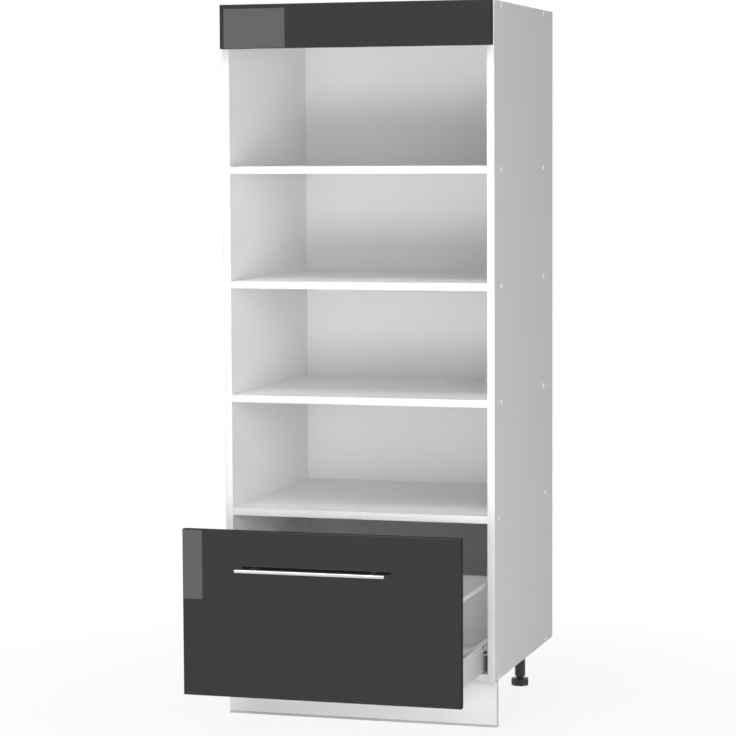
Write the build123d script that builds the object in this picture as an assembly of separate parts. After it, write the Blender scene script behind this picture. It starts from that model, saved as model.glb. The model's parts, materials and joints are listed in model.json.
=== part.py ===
from build123d import *
import os
from dataclasses import dataclass
from math import cos, pi, sin

# A kitchen shelf unit: a white carcass with open shelves, a dark gloss fascia at the top and a dark
# gloss drawer on steel sides at the bottom, on four adjustable legs behind a plinth.
# Lengths are in millimetres. The pieces are drawn with X from the middle of the cabinet to its right
# side, Y from the front edges of the carcass to the back and Z up from the floor. Each piece is moved
# along Y when it is written, so that the origin lies under the middle of the whole unit.
# The drawer is drawn where it stands open. Its own depths are measured from the back of its front.

# Carcass boards
cabinet_width = 600.0
carcass_depth = 560.0
board = 16.0
edge_band = 1.0
bay_clear = 322.0
shelf_clear = 230.0
top_clear = 328.0
shelf_names = ("shelf_lower", "shelf_middle", "shelf_upper")
back_board = 3.2
back_inset = 16.8
groove_depth = 8.0
groove_clearance = 0.2
shelf_back_gap = 0.4

# Screws that hold the carcass together, and the caps over them
carcass_screw_length = 50.0
carcass_screw_radius = 2.5
carcass_neck_radius = 3.4
carcass_head_radius = 4.8
carcass_head_height = 3.4
carcass_socket_radius = 2.3
carcass_socket_depth = 2.4
cap_radius = 6.0
cap_height = 0.8
cap_edge = 0.35
cap_plug_length = 2.0
cap_plug_clearance = 0.2
shelf_screw_front = 61.0
shelf_screw_rear = 95.0
base_screw_front = 37.0
base_screw_rear = 75.0

# Small screws and fits
screw_radius = 1.9
screw_head_radius = 3.6
screw_head_height = 1.2
screw_bite = 11.0
hole_clearance = 0.35
fit_clearance = 0.05
overcut = 1.0

# Fascia and drawer front
front_thickness = 16.0
front_gap = 2.0
front_side_gap = 2.0
front_edge_round = 1.2
fascia_height = 93.6
front_drop = 2.0
front_overlap = 7.7

# Angle brackets of the fascia
fascia_bracket_sheet = 1.5
fascia_bracket_width = 42.0
fascia_bracket_depth = 34.0
fascia_bracket_height = 46.0
fascia_bracket_drop = 8.0
fascia_screw_reach = 11.5
fascia_screw_depth = 20.0
fascia_screw_inset = 30.0

# Angle brackets that tie the unit to the wall
wall_bracket_sheet = 2.0
wall_bracket_width = 36.0
wall_bracket_leg = 40.0
wall_bracket_inset = 84.0
wall_screw_offset = 9.0
wall_screw_depth = 20.0
wall_hole_radius = 3.0
wall_hole_drop = 25.0
wall_hole_clearance = 1.0

# Legs and feet
plinth_height = 100.0
leg_side_inset = 57.0
leg_front_inset = 80.0
leg_rear_inset = 84.0
leg_flange_radius = 30.0
leg_flange_height = 5.0
leg_tube_radius = 11.9
leg_tube_chamfer = 1.5
leg_tube_gap = 5.0
leg_roof = 12.0
leg_screw_circle = 22.0
leg_screw_count = 4
foot_height = 16.0
foot_lobes = 7
foot_lobe_radius = 9.5
foot_lobe_circle = 10.5
foot_edge_round = 1.2
foot_stem_radius = 8.0
foot_stem_headroom = 14.0
foot_stem_clearance = 0.2

# Plinth
plinth_recess = 15.0
plinth_top_gap = 1.5
seal_wall = 0.8
seal_height = 5.0
clip_ring_wall = 3.0
clip_ring_clearance = 0.1
clip_ring_height = 20.0
clip_level = 55.0
clip_mouth = 17.0
clip_arm_width = 10.0
clip_plate_width = 44.0
clip_plate_height = 34.0
clip_plate = 3.0
clip_screw_offset = 16.0

# Drawer box
drawer_open = 261.0
steel = 1.2
side_gap = 12.5
side_height = 69.0
side_foot_width = 20.0
under_screw_gap = 0.8
flange_side_gap = 1.0
flange_lip = 2.4
bead_height = 8.0
bead_depth = 1.6
bead_levels = (35.8, 48.0)
lip_bead_level = 3.5
lip_bead_height = 5.0
lip_bead_depth = 1.0
drawer_board = 16.0
drawer_board_gap = 0.3
drawer_back_height = 155.3
drawer_back_inset = 18.0
drawer_back_side_gap = 2.0
foot_screw_inset = 11.0
foot_screw_end_inset = 60.0

# Drawer fittings
rail_radius = 5.0
rail_wall = 1.0
rail_above_back = 9.5
rail_side_inset = 3.5
holder_wall = 2.0
holder_length = 18.0
holder_socket = 12.0
holder_clearance = 0.1
angle_length = 40.0
angle_width = 26.0
angle_height = 44.0
angle_foot_gap = 3.0
angle_screw_inset = 17.0
angle_screw_end_inset = 11.0
bracket_width = 34.0
bracket_leg = 28.0
bracket_rise = 1.0
bracket_screw_inset = 12.0
bracket_screw_end_inset = 38.0
bumper_radius = 4.0
bumper_height = 1.8
bumper_inset = 16.0

# Handle
handle_length = 320.0
handle_height = 7.0
handle_depth = 8.0
handle_corner = 2.5
handle_end_chamfer = 0.6
handle_projection = 31.0
handle_from_top = 79.7
handle_shift = -15.0
post_spacing = 256.0
post_radius = 3.5
post_spigot_radius = 2.5
post_spigot_length = 3.0
handle_screw_radius = 2.0
handle_screw_grip = 8.0
handle_screw_head_radius = 4.4
handle_screw_head_height = 2.6

# Runners and rollers
runner_front_gap = 3.0
runner_rear_gap = 37.0
runner_foot_gap = 1.9
runner_roof_gap = 3.9
runner_top_gap = 1.1
runner_roof_start = 42.0
runner_screw_front = 34.0
runner_screw_rear = 50.0
roller_radius = 12.0
roller_bore_clearance = 0.1
roller_wall_gap = 0.9
roller_lip_gap = 1.3
roller_flange_gap = 0.1
roller_roof_gap = 0.2
roller_floor_gap = 0.4
roller_front_offset = 17.0
roller_rear_offset = 16.0
axle_radius = 2.5
axle_head_radius = 3.6
axle_head = 0.6
axle_play = 0.15

# Places of the carcass that follow from the sizes above
half_width = cabinet_width / 2
inner_half = half_width - board
back_face = carcass_depth - back_inset - back_board
carcass_bottom = plinth_height
bay_floor = carcass_bottom + board
bay_shelf_bottom = bay_floor + bay_clear
shelf_pitch = shelf_clear + board
shelf_bottoms = [bay_shelf_bottom + shelf_pitch * (step + 1) for step in range(len(shelf_names))]
top_underside = shelf_bottoms[-1] + board + top_clear
carcass_top = top_underside + board
fronts_half = half_width - front_side_gap
front_back = -front_gap
front_face = front_back - front_thickness
fascia_bracket_top = top_underside - fascia_bracket_drop
wall_bracket_x = inner_half - wall_bracket_inset
plinth_back = plinth_recess + board
tube_bottom = foot_height + leg_tube_gap
bore_top = carcass_bottom - leg_roof

# Places of the drawer. Its depths run from the back of its front, and its heights from the floor.
drawer_shift = front_back - drawer_open
front_bottom = carcass_bottom - front_drop
front_top = bay_shelf_bottom + front_overlap
wall_outer = inner_half - side_gap
wall_inner = wall_outer - steel
lip_inner = inner_half - flange_side_gap - steel
side_bottom = bay_floor + screw_head_height + under_screw_gap
side_top = side_bottom + side_height
flange_underside = side_top - steel
board_bottom = side_bottom + steel
board_top = board_bottom + drawer_board
runner_rear = back_face - runner_rear_gap
drawer_length = runner_rear - runner_front_gap
drawer_back_rear = drawer_length - drawer_back_inset + drawer_board
drawer_back_top = board_top + drawer_back_height
rail_level = drawer_back_top + rail_above_back
rail_x = wall_outer - rail_side_inset
holder_reach = rail_radius + holder_wall
drawer_back_half = rail_x - holder_reach - drawer_back_side_gap
angle_bottom = board_top + angle_foot_gap
handle_level = front_top - handle_from_top
handle_back = -front_thickness - handle_projection + handle_depth
post_places = [handle_shift + side * post_spacing / 2 for side in (-1, 1)]

# Places of the runners and rollers
web_inner = inner_half - steel
runner_top = side_top - flange_lip - runner_top_gap
roller_inner = wall_outer + bead_depth + roller_wall_gap
roller_outer = lip_inner - roller_lip_gap
front_roller_y = runner_front_gap + roller_front_offset
front_roller_level = flange_underside - roller_flange_gap - roller_radius
rear_roller_y = drawer_length - roller_rear_offset
rear_roller_level = runner_top - steel - roller_roof_gap - roller_radius
runner_bottom = rear_roller_level - roller_radius - roller_floor_gap - steel

# The origin lies under the middle of the unit, from the handle to the back of the carcass
unit_front = drawer_shift - front_thickness - handle_projection
origin_shift = -(unit_front + carcass_depth) / 2


def block(x, y, z):
    """A box between two limits on each axis."""
    size = [high - low for low, high in (x, y, z)]
    middle = [(high + low) / 2 for low, high in (x, y, z)]
    return Pos(*middle) * Box(*size)


def around(middle, reach):
    """The two limits at the same reach from a middle."""
    return (middle - reach, middle + reach)


def ring_of(count, radius):
    """Points spread evenly round a circle, with a gap between two of them at its front."""
    angles = [2 * pi * (step + 0.5) / count - pi / 2 for step in range(count)]
    return [(radius * cos(angle), radius * sin(angle)) for angle in angles]


def rod(radius, start, end):
    """A round bar from one point to another."""
    way = Vector(*end) - Vector(*start)
    plane = Plane(origin=start, z_dir=way)
    return plane * Cylinder(radius, way.length, align=(Align.CENTER, Align.CENTER, Align.MIN))


def along_y(outline, y):
    """A bar with an outline of X and Z points between two Y limits."""
    points = [(x_place, y[0], z_place) for x_place, z_place in outline]
    return extrude(make_face(Polyline(*points, close=True)), amount=y[1] - y[0], dir=(0, 1, 0))


def sheet_outline(path, thickness):
    """The closed outline of a bent sheet, with one face on the path and the other to its left."""
    runs = [(Vector(*after) - Vector(*before)).normalized() for before, after in zip(path, path[1:])]
    normals = [Vector(-run.Y, run.X) for run in runs]
    far_face = []
    for index, point in enumerate(path):
        before = normals[max(index - 1, 0)]
        after = normals[min(index, len(normals) - 1)]
        mitre = (before + after) * (thickness / (1 + before.dot(after)))
        far_face.append((point[0] + mitre.X, point[1] + mitre.Y))
    return list(path) + far_face[::-1]


def shifted(point, way, distance):
    """A point moved a distance along a way."""
    return tuple(start + step * distance for start, step in zip(point, way))


def left_of(piece):
    """The same piece on the other side of the cabinet."""
    return mirror(piece, about=Plane.YZ)


def cut(piece, tools):
    """A piece with each of the tools taken out."""
    for tool in tools:
        piece = piece - tool
    return piece


def write(name, solids, shift=0.0):
    """Write one node, with its solids moved from the drawing place to the unit's origin."""
    move = Pos(0, origin_shift + shift, 0)
    pieces = [move * solid for solid in (solids if isinstance(solids, list) else [solids])]
    shape = pieces[0] if len(pieces) == 1 else Compound(children=pieces)
    shape.label = name
    export_step(shape, f"parts/{name}.step")


def write_pair(name, piece, shift=0.0):
    """Write a piece of the right side and its mirror image on the left."""
    write(f"{name}_right", piece, shift)
    write(f"{name}_left", left_of(piece), shift)


@dataclass(frozen=True)
class SmallScrew:
    """A screw through a sheet into a board: the point under its head, its way and the sheet."""

    seat: tuple
    way: tuple
    sheet: float

    def at(self, distance):
        """The point at a distance along the screw from its seat."""
        return shifted(self.seat, self.way, distance)

    def piece(self):
        """The screw, with its head on the sheet."""
        head = rod(screw_head_radius, self.at(-screw_head_height), self.seat)
        return head + rod(screw_radius, self.seat, self.at(self.sheet + screw_bite))

    def hole(self):
        """The clearance hole through the sheet."""
        return rod(screw_radius + hole_clearance, self.at(-overcut), self.at(self.sheet + overcut))

    def pilot(self):
        """The hole that the thread fills in the board."""
        end = self.at(self.sheet + screw_bite + fit_clearance)
        return rod(screw_radius + fit_clearance, self.seat, end)

    def flipped(self):
        """The same screw on the other side of the cabinet."""
        seat = (-self.seat[0], self.seat[1], self.seat[2])
        return SmallScrew(seat, (-self.way[0], self.way[1], self.way[2]), self.sheet)


def on_both_sides(screws):
    """The screws of the right side and of the left."""
    return screws + [place.flipped() for place in screws]


def holes(screws):
    """The clearance holes of some screws."""
    return [place.hole() for place in screws]


def pilots(screws):
    """The pilot holes of some screws."""
    return [place.pilot() for place in screws]


def carcass_screw_places(side):
    """The outer ends of the carcass screws on one side, where -1 is left and 1 is right."""
    rows = [(bottom, shelf_screw_front, shelf_screw_rear) for bottom in [*shelf_bottoms, top_underside]]
    rows += [(bottom, base_screw_front, base_screw_rear) for bottom in (carcass_bottom, bay_shelf_bottom)]
    return [
        (side * half_width, depth, bottom + board / 2)
        for bottom, front, rear in rows
        for depth in (front, carcass_depth - rear)
    ]


def fascia_screw_levels():
    """The heights of the screws in a fascia bracket."""
    return around(fascia_bracket_top - fascia_bracket_height / 2, fascia_screw_reach)


def fascia_side_screws():
    """The two screws of the right fascia bracket into the side panel."""
    sheet = fascia_bracket_sheet
    levels = fascia_screw_levels()
    return [SmallScrew((inner_half - sheet, fascia_screw_depth, z), (1, 0, 0), sheet) for z in levels]


def fascia_front_screws():
    """The two screws of the right fascia bracket into the fascia."""
    sheet = fascia_bracket_sheet
    x = inner_half - fascia_screw_inset
    return [SmallScrew((x, front_back + sheet, z), (0, -1, 0), sheet) for z in fascia_screw_levels()]


def wall_bracket_screws():
    """The screws that hold the right wall bracket under the top panel."""
    sheet = wall_bracket_sheet
    y = back_face - wall_screw_depth
    places = around(wall_bracket_x, wall_screw_offset)
    return [SmallScrew((x, y, top_underside - sheet), (0, 0, 1), sheet) for x in places]


def leg_centres():
    """The middle of each leg, by its place under the carcass."""
    leg_x = half_width - leg_side_inset
    rear_y = carcass_depth - leg_rear_inset
    return {
        "front_left": (-leg_x, leg_front_inset),
        "front_right": (leg_x, leg_front_inset),
        "rear_left": (-leg_x, rear_y),
        "rear_right": (leg_x, rear_y),
    }


def leg_screws(centre):
    """The screws that hold one leg under the bottom panel."""
    z = carcass_bottom - leg_flange_height
    places = ring_of(leg_screw_count, leg_screw_circle)
    return [SmallScrew((centre[0] + x, centre[1] + y, z), (0, 0, 1), leg_flange_height) for x, y in places]


def all_leg_screws():
    """The screws of the four legs."""
    return [place for centre in leg_centres().values() for place in leg_screws(centre)]


def clip_screws(centre):
    """The screws that hold one plinth clip to the back of the plinth."""
    return [
        SmallScrew((x, plinth_back + clip_plate, clip_level), (0, -1, 0), clip_plate)
        for x in around(centre[0], clip_screw_offset)
    ]


def all_clip_screws():
    """The screws of the two plinth clips."""
    return [place for side in ("left", "right") for place in clip_screws(leg_centres()[f"front_{side}"])]


def runner_screws():
    """The screws of the right runner."""
    middle = (runner_front_gap + runner_rear) / 2
    level = (runner_bottom + runner_top) / 2
    return [
        SmallScrew((web_inner, y, level), (1, 0, 0), steel)
        for y in (runner_front_gap + runner_screw_front, middle, runner_rear - runner_screw_rear)
    ]


def drawer_front_screws():
    """The screws of the right angle into the drawer front."""
    levels = (angle_bottom + angle_screw_end_inset, angle_bottom + angle_height - angle_screw_end_inset)
    return [SmallScrew((wall_inner - angle_screw_inset, steel, z), (0, -1, 0), steel) for z in levels]


def drawer_back_screws():
    """The screws of the right bracket into the drawer's back."""
    x = drawer_back_half - bracket_screw_inset
    levels = (board_top + bracket_screw_end_inset, drawer_back_top - bracket_screw_end_inset)
    return [SmallScrew((x, drawer_back_rear + steel, z), (0, -1, 0), steel) for z in levels]


def drawer_floor_screws():
    """The screws of the right steel side into the drawer's bottom."""
    x = wall_outer - foot_screw_inset
    places = (foot_screw_end_inset, drawer_length / 2, drawer_length - foot_screw_end_inset)
    return [SmallScrew((x, y, side_bottom), (0, 0, 1), steel) for y in places]


def side_panel():
    """The right side panel, with its groove, screw holes and pilot holes."""
    panel = block((inner_half, half_width), (edge_band, carcass_depth), (carcass_bottom, carcass_top))
    groove = block(
        (inner_half - overcut, inner_half + groove_depth),
        (back_face, back_face + back_board + groove_clearance),
        (carcass_bottom - overcut, carcass_top + overcut),
    )
    tools = [groove] + pilots(fascia_side_screws()) + pilots(runner_screws())
    for place in carcass_screw_places(1):
        head_end = shifted(place, (-1, 0, 0), carcass_head_height)
        neck_end = shifted(place, (-1, 0, 0), board + overcut)
        tools.append(rod(carcass_head_radius + fit_clearance, place, head_end))
        tools.append(rod(carcass_neck_radius + fit_clearance, place, neck_end))
    return cut(panel, tools)


def level_board(bottom, rear):
    """A board across the carcass, drilled at its ends for the carcass screws."""
    panel = block((-inner_half, inner_half), (edge_band, rear), (bottom, bottom + board))
    tools = []
    for side in (-1, 1):
        for place in carcass_screw_places(side):
            if bottom < place[2] < bottom + board:
                end = shifted(place, (-side, 0, 0), carcass_screw_length + fit_clearance)
                tools.append(rod(carcass_screw_radius + fit_clearance, place, end))
    return cut(panel, tools)


def shelf(bottom):
    """A fixed shelf, which ends just in front of the back panel."""
    return level_board(bottom, back_face - shelf_back_gap)


def back_groove(z):
    """The groove for the back panel across the top or bottom panel."""
    y = (back_face, back_face + back_board + groove_clearance)
    return block((-half_width, half_width), y, z)


def top_panel():
    """The top panel, grooved and drilled for the wall brackets."""
    groove = back_groove((top_underside - overcut, top_underside + groove_depth))
    drilling = pilots(on_both_sides(wall_bracket_screws()))
    return cut(level_board(top_underside, carcass_depth), [groove] + drilling)


def bottom_panel():
    """The bottom panel, grooved and drilled for the legs."""
    groove = back_groove((bay_floor - groove_depth, bay_floor + overcut))
    return cut(level_board(carcass_bottom, carcass_depth), [groove] + pilots(all_leg_screws()))


def wall_hole(side, radius):
    """The way of a wall screw through a wall bracket and the back panel."""
    x = side * wall_bracket_x
    level = top_underside - wall_hole_drop
    return rod(radius, (x, back_face - wall_bracket_sheet - overcut, level), (x, carcass_depth, level))


def back_panel():
    """The thin back panel, which stands in the grooves."""
    reach = groove_depth - groove_clearance
    panel = block(
        (-inner_half - reach, inner_half + reach),
        (back_face, back_face + back_board),
        (bay_floor - reach, top_underside + reach),
    )
    return cut(panel, [wall_hole(side, wall_hole_radius + wall_hole_clearance) for side in (-1, 1)])


def front_edge_bands():
    """The thin white bands on the front edges of the carcass boards."""
    upright = block((inner_half, half_width), (0, edge_band), (carcass_bottom, carcass_top))
    bands = [upright, left_of(upright)]
    for bottom in (carcass_bottom, bay_shelf_bottom, *shelf_bottoms, top_underside):
        bands.append(block((-inner_half, inner_half), (0, edge_band), (bottom, bottom + board)))
    return bands


def carcass_screws(side):
    """The screws through one side panel into the boards, with a socket in each head."""
    screws = []
    for place in carcass_screw_places(side):
        head_end, neck_end, tip, socket_end = (
            shifted(place, (-side, 0, 0), distance)
            for distance in (carcass_head_height, board, carcass_screw_length, carcass_socket_depth)
        )
        head = rod(carcass_head_radius, place, head_end)
        neck = rod(carcass_neck_radius, head_end, neck_end)
        shank = rod(carcass_screw_radius, neck_end, tip)
        screws.append(head + neck + shank - rod(carcass_socket_radius, place, socket_end))
    return screws


def screw_caps():
    """The round caps over the carcass screws of the right side."""
    caps = []
    for place in carcass_screw_places(1):
        disc = rod(cap_radius, place, shifted(place, (1, 0, 0), cap_height))
        disc = fillet(disc.faces().sort_by(Axis.X)[-1].edges(), cap_edge)
        plug_radius = carcass_socket_radius - cap_plug_clearance
        caps.append(disc + rod(plug_radius, place, shifted(place, (-1, 0, 0), cap_plug_length)))
    return caps


def gloss_board(y, z):
    """A dark front board with the edges of its face eased."""
    panel = block((-fronts_half, fronts_half), y, z)
    return fillet(panel.faces().sort_by(Axis.Y)[0].edges(), front_edge_round)


def fascia_panel():
    """The dark board across the top of the carcass."""
    panel = gloss_board((front_face, front_back), (carcass_top - fascia_height, carcass_top))
    return cut(panel, pilots(on_both_sides(fascia_front_screws())))


def fascia_bracket():
    """The right steel angle between the side panel and the fascia."""
    z = (fascia_bracket_top - fascia_bracket_height, fascia_bracket_top)
    side_leg = block((inner_half - fascia_bracket_sheet, inner_half), (front_back, fascia_bracket_depth), z)
    front_y = (front_back, front_back + fascia_bracket_sheet)
    front_leg = block((inner_half - fascia_bracket_width, inner_half), front_y, z)
    return cut(side_leg + front_leg, holes(fascia_side_screws() + fascia_front_screws()))


def wall_bracket():
    """The right steel angle that ties the top panel to the wall."""
    x = around(wall_bracket_x, wall_bracket_width / 2)
    level_z = (top_underside - wall_bracket_sheet, top_underside)
    level_leg = block(x, (back_face - wall_bracket_leg, back_face), level_z)
    upright_z = (top_underside - wall_bracket_leg, top_underside)
    upright_leg = block(x, (back_face - wall_bracket_sheet, back_face), upright_z)
    return cut(level_leg + upright_leg, holes(wall_bracket_screws()) + [wall_hole(1, wall_hole_radius)])


def leg(centre):
    """One leg: a flange under the bottom panel and a tube for the foot's stem."""
    x, y = centre
    tube = rod(leg_tube_radius, (x, y, tube_bottom), (x, y, carcass_bottom))
    tube = chamfer(tube.faces().sort_by(Axis.Z)[0].edges(), leg_tube_chamfer)
    flange = rod(leg_flange_radius, (x, y, carcass_bottom - leg_flange_height), (x, y, carcass_bottom))
    bore = rod(foot_stem_radius + foot_stem_clearance, (x, y, 0), (x, y, bore_top))
    return cut(tube + flange, [bore] + holes(leg_screws(centre)))


def foot(centre):
    """One foot: a lobed disc on the floor with a stem that goes up into the leg."""
    x, y = centre
    outline = Sketch() + Circle(foot_lobe_circle)
    for place in ring_of(foot_lobes, foot_lobe_circle):
        outline += Pos(*place) * Circle(foot_lobe_radius)
    disc = extrude(outline, amount=foot_height)
    ends = disc.faces().filter_by(Axis.Z)
    disc = Pos(x, y, 0) * fillet(ends.edges(), foot_edge_round)
    return disc + rod(foot_stem_radius, (x, y, foot_height - overcut), (x, y, bore_top - foot_stem_headroom))


def plinth_panel():
    """The white board in front of the legs."""
    z = (seal_wall, plinth_height - plinth_top_gap)
    panel = block((-half_width, half_width), (plinth_recess, plinth_back), z)
    return cut(panel, pilots(all_clip_screws()))


def plinth_seal():
    """The soft channel under the plinth."""
    outer_y = (plinth_recess - seal_wall, plinth_back + seal_wall)
    channel = block((-half_width, half_width), outer_y, (0, seal_height))
    space_x = (-half_width - overcut, half_width + overcut)
    return channel - block(space_x, (plinth_recess, plinth_back), (seal_wall, seal_height + overcut))


def plinth_clip(centre):
    """A clip that snaps round a front leg and is screwed to the back of the plinth."""
    x, y = centre
    inner = leg_tube_radius + clip_ring_clearance
    outer = inner + clip_ring_wall
    low, high = around(clip_level, clip_ring_height / 2)
    ring = rod(outer, (x, y, low), (x, y, high))
    arm = block(around(x, clip_arm_width / 2), (plinth_back + clip_plate, y), (low, high))
    bore = rod(inner, (x, y, low - overcut), (x, y, high + overcut))
    mouth = block(around(x, clip_mouth / 2), (y, y + outer + overcut), (low - overcut, high + overcut))
    plate = block(
        around(x, clip_plate_width / 2),
        (plinth_back, plinth_back + clip_plate),
        around(clip_level, clip_plate_height / 2),
    )
    return cut(ring + arm, [bore, mouth]) + cut(plate, holes(clip_screws(centre)))


def bead(level, height, depth):
    """The corners of one bead pressed outwards in the steel side, from below to above."""
    middle = side_bottom + level
    return [
        (wall_outer, middle - height / 2),
        (wall_outer + depth, middle - height / 4),
        (wall_outer + depth, middle + height / 4),
        (wall_outer, middle + height / 2),
    ]


def drawer_side():
    """The right steel side: one bent sheet with a foot, beads and a running flange at the top."""
    path = [(wall_outer - side_foot_width, side_bottom), (wall_outer, side_bottom)]
    path += bead(lip_bead_level, lip_bead_height, lip_bead_depth)
    for level in bead_levels:
        path += bead(level, bead_height, bead_depth)
    path += [
        (wall_outer, flange_underside),
        (lip_inner, flange_underside),
        (lip_inner, side_top - flange_lip),
    ]
    side = along_y(sheet_outline(path, steel), (0, drawer_length))
    axle_start = (wall_inner - overcut, rear_roller_y, rear_roller_level)
    axle_end = (roller_inner, rear_roller_y, rear_roller_level)
    axle_hole = rod(axle_radius + fit_clearance, axle_start, axle_end)
    return cut(side, [axle_hole] + holes(drawer_floor_screws()))


def drawer_bottom():
    """The board that lies on the feet of the two steel sides."""
    half = wall_inner - drawer_board_gap
    panel = block((-half, half), (0, drawer_back_rear), (board_bottom, board_top))
    return cut(panel, pilots(on_both_sides(drawer_floor_screws())))


def drawer_back():
    """The tall board across the rear of the drawer."""
    y = (drawer_back_rear - drawer_board, drawer_back_rear)
    panel = block((-drawer_back_half, drawer_back_half), y, (board_top, drawer_back_top))
    return cut(panel, pilots(on_both_sides(drawer_back_screws())))


def back_bracket():
    """The right steel bracket between the drawer's back and its steel side."""
    plate_y = (drawer_back_rear, drawer_back_rear + steel)
    plate_z = (board_top, rail_level + holder_reach + bracket_rise)
    plate = block((drawer_back_half - bracket_width, wall_inner), plate_y, plate_z)
    leg_y = (drawer_back_rear - bracket_leg, drawer_back_rear + steel)
    side_leg = block((wall_inner - steel, wall_inner), leg_y, (board_top, flange_underside))
    return cut(plate + side_leg, holes(drawer_back_screws()))


def railing():
    """The right rail, a thin tube above the steel side."""
    start = (rail_x, holder_length - holder_socket, rail_level)
    end = (rail_x, drawer_back_rear - holder_length + holder_socket, rail_level)
    return rod(rail_radius, start, end) - rod(rail_radius - rail_wall, start, end)


def railing_holders():
    """The socket blocks at the two ends of the right rail."""
    holders = []
    for base, way in ((0, 1), (drawer_back_rear, -1)):
        mouth = base + way * holder_length
        floor = mouth - way * holder_socket
        y = sorted((base, mouth))
        body = block(around(rail_x, holder_reach), y, around(rail_level, holder_reach))
        body = fillet(body.edges().filter_by(Axis.Y), holder_wall)
        start, end = (rail_x, floor, rail_level), (rail_x, mouth, rail_level)
        holders.append(body - rod(rail_radius + holder_clearance, start, end))
    return holders


def front_angle():
    """The right steel angle between the steel side and the drawer front."""
    z = (angle_bottom, angle_bottom + angle_height)
    side_leg = block((wall_inner - steel, wall_inner), (0, angle_length), z)
    front_leg = block((wall_inner - angle_width, wall_inner), (0, steel), z)
    return cut(side_leg + front_leg, holes(drawer_front_screws()))


def drawer_front():
    """The dark board of the drawer, drilled for its handle and its angles."""
    panel = gloss_board((-front_thickness, 0), (front_bottom, front_top))
    tools = pilots(on_both_sides(drawer_front_screws()))
    for x in post_places:
        start = (x, -front_thickness - overcut, handle_level)
        tools.append(rod(handle_screw_radius + hole_clearance, start, (x, overcut, handle_level)))
    return cut(panel, tools)


def handle_bar():
    """The slim bar of the handle, with a socket for each post."""
    middle = Pos(handle_shift, handle_back - handle_depth / 2, handle_level)
    bar = middle * Box(handle_length, handle_depth, handle_height)
    bar = fillet(bar.edges().filter_by(Axis.X), handle_corner)
    bar = chamfer(bar.faces().filter_by(Axis.X).edges(), handle_end_chamfer)
    floor = handle_back - post_spigot_length - fit_clearance
    for x in post_places:
        mouth = (x, handle_back, handle_level)
        bar -= rod(post_spigot_radius + fit_clearance, mouth, (x, floor, handle_level))
    return bar


def handle_posts():
    """The two posts between the drawer front and the bar."""
    posts = []
    for x in post_places:
        base, shoulder, tip, thread_end = (
            (x, y, handle_level)
            for y in (
                -front_thickness,
                handle_back,
                handle_back - post_spigot_length,
                -front_thickness - handle_screw_grip - fit_clearance,
            )
        )
        post = rod(post_radius, base, shoulder) + rod(post_spigot_radius, shoulder, tip)
        posts.append(post - rod(handle_screw_radius + fit_clearance, base, thread_end))
    return posts


def handle_screws():
    """The screws through the drawer front into the posts."""
    screws = []
    for x in post_places:
        seat = (x, 0, handle_level)
        tip = (x, -front_thickness - handle_screw_grip, handle_level)
        head = rod(handle_screw_head_radius, seat, (x, handle_screw_head_height, handle_level))
        screws.append(head + rod(handle_screw_radius, seat, tip))
    return screws


def bumpers():
    """The soft pads on the back of the drawer front, opposite the edges of the side panels."""
    pads = []
    for x in (-half_width + board / 2, half_width - board / 2):
        for z in (carcass_bottom + bumper_inset, front_top - bumper_inset):
            pads.append(rod(bumper_radius, (x, 0, z), (x, bumper_height, z)))
    return pads


def cabinet_runner():
    """The right steel channel on the side panel, open at the front above its roller."""
    foot_edge = wall_outer + bead_depth + runner_foot_gap
    roof_edge = wall_outer + bead_depth + runner_roof_gap
    path = [
        (foot_edge, runner_bottom),
        (inner_half, runner_bottom),
        (inner_half, runner_top),
        (roof_edge, runner_top),
    ]
    channel = along_y(sheet_outline(path, steel), (runner_front_gap, runner_rear))
    roof = runner_top - steel
    stop = block((roof_edge, web_inner), (runner_rear - steel, runner_rear), (runner_bottom + steel, roof))
    roof_cut = block((roof_edge - overcut, web_inner), (0, runner_roof_start), (roof, runner_top + overcut))
    axle_start = (web_inner - overcut, front_roller_y, front_roller_level)
    axle_hole = rod(axle_radius + fit_clearance, axle_start, (half_width, front_roller_y, front_roller_level))
    return cut(channel + stop, [roof_cut, axle_hole] + holes(runner_screws()))


def roller(y, z):
    """A roller between the steel side and the flange's lip."""
    start, end = (roller_inner, y, z), (roller_outer, y, z)
    return rod(roller_radius, start, end) - rod(axle_radius + roller_bore_clearance, start, end)


def axle(foot_x, face_x, y, z):
    """A rivet through a roller, from the sheet that carries it to a head beyond the roller's far face."""
    way = 1 if face_x > foot_x else -1
    under_head = (face_x + way * axle_play, y, z)
    over_head = shifted(under_head, (way, 0, 0), axle_head)
    return rod(axle_radius, (foot_x, y, z), over_head) + rod(axle_head_radius, under_head, over_head)


def front_axle():
    """The rivet that carries the front roller on the runner."""
    return axle(inner_half, roller_inner, front_roller_y, front_roller_level)


def rear_axle():
    """The rivet that carries the rear roller on the steel side."""
    return axle(wall_inner, roller_outer, rear_roller_y, rear_roller_level)


def both(pieces):
    """Some pieces of the right side and their mirror images, as one list."""
    return pieces + [left_of(piece) for piece in pieces]


def screws_of(places):
    """The screws at some places."""
    return [place.piece() for place in places]


def write_carcass():
    """Write the boards of the carcass and what holds them together."""
    write_pair("side_panel", side_panel())
    write("top_panel", top_panel())
    write("bottom_panel", bottom_panel())
    write("drawer_bay_shelf", shelf(bay_shelf_bottom))
    for name, bottom in zip(shelf_names, shelf_bottoms):
        write(name, shelf(bottom))
    write("back_panel", back_panel())
    write("front_edge_bands", front_edge_bands())
    write("carcass_screws", carcass_screws(1) + carcass_screws(-1))
    write("screw_caps", both(screw_caps()))


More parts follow.
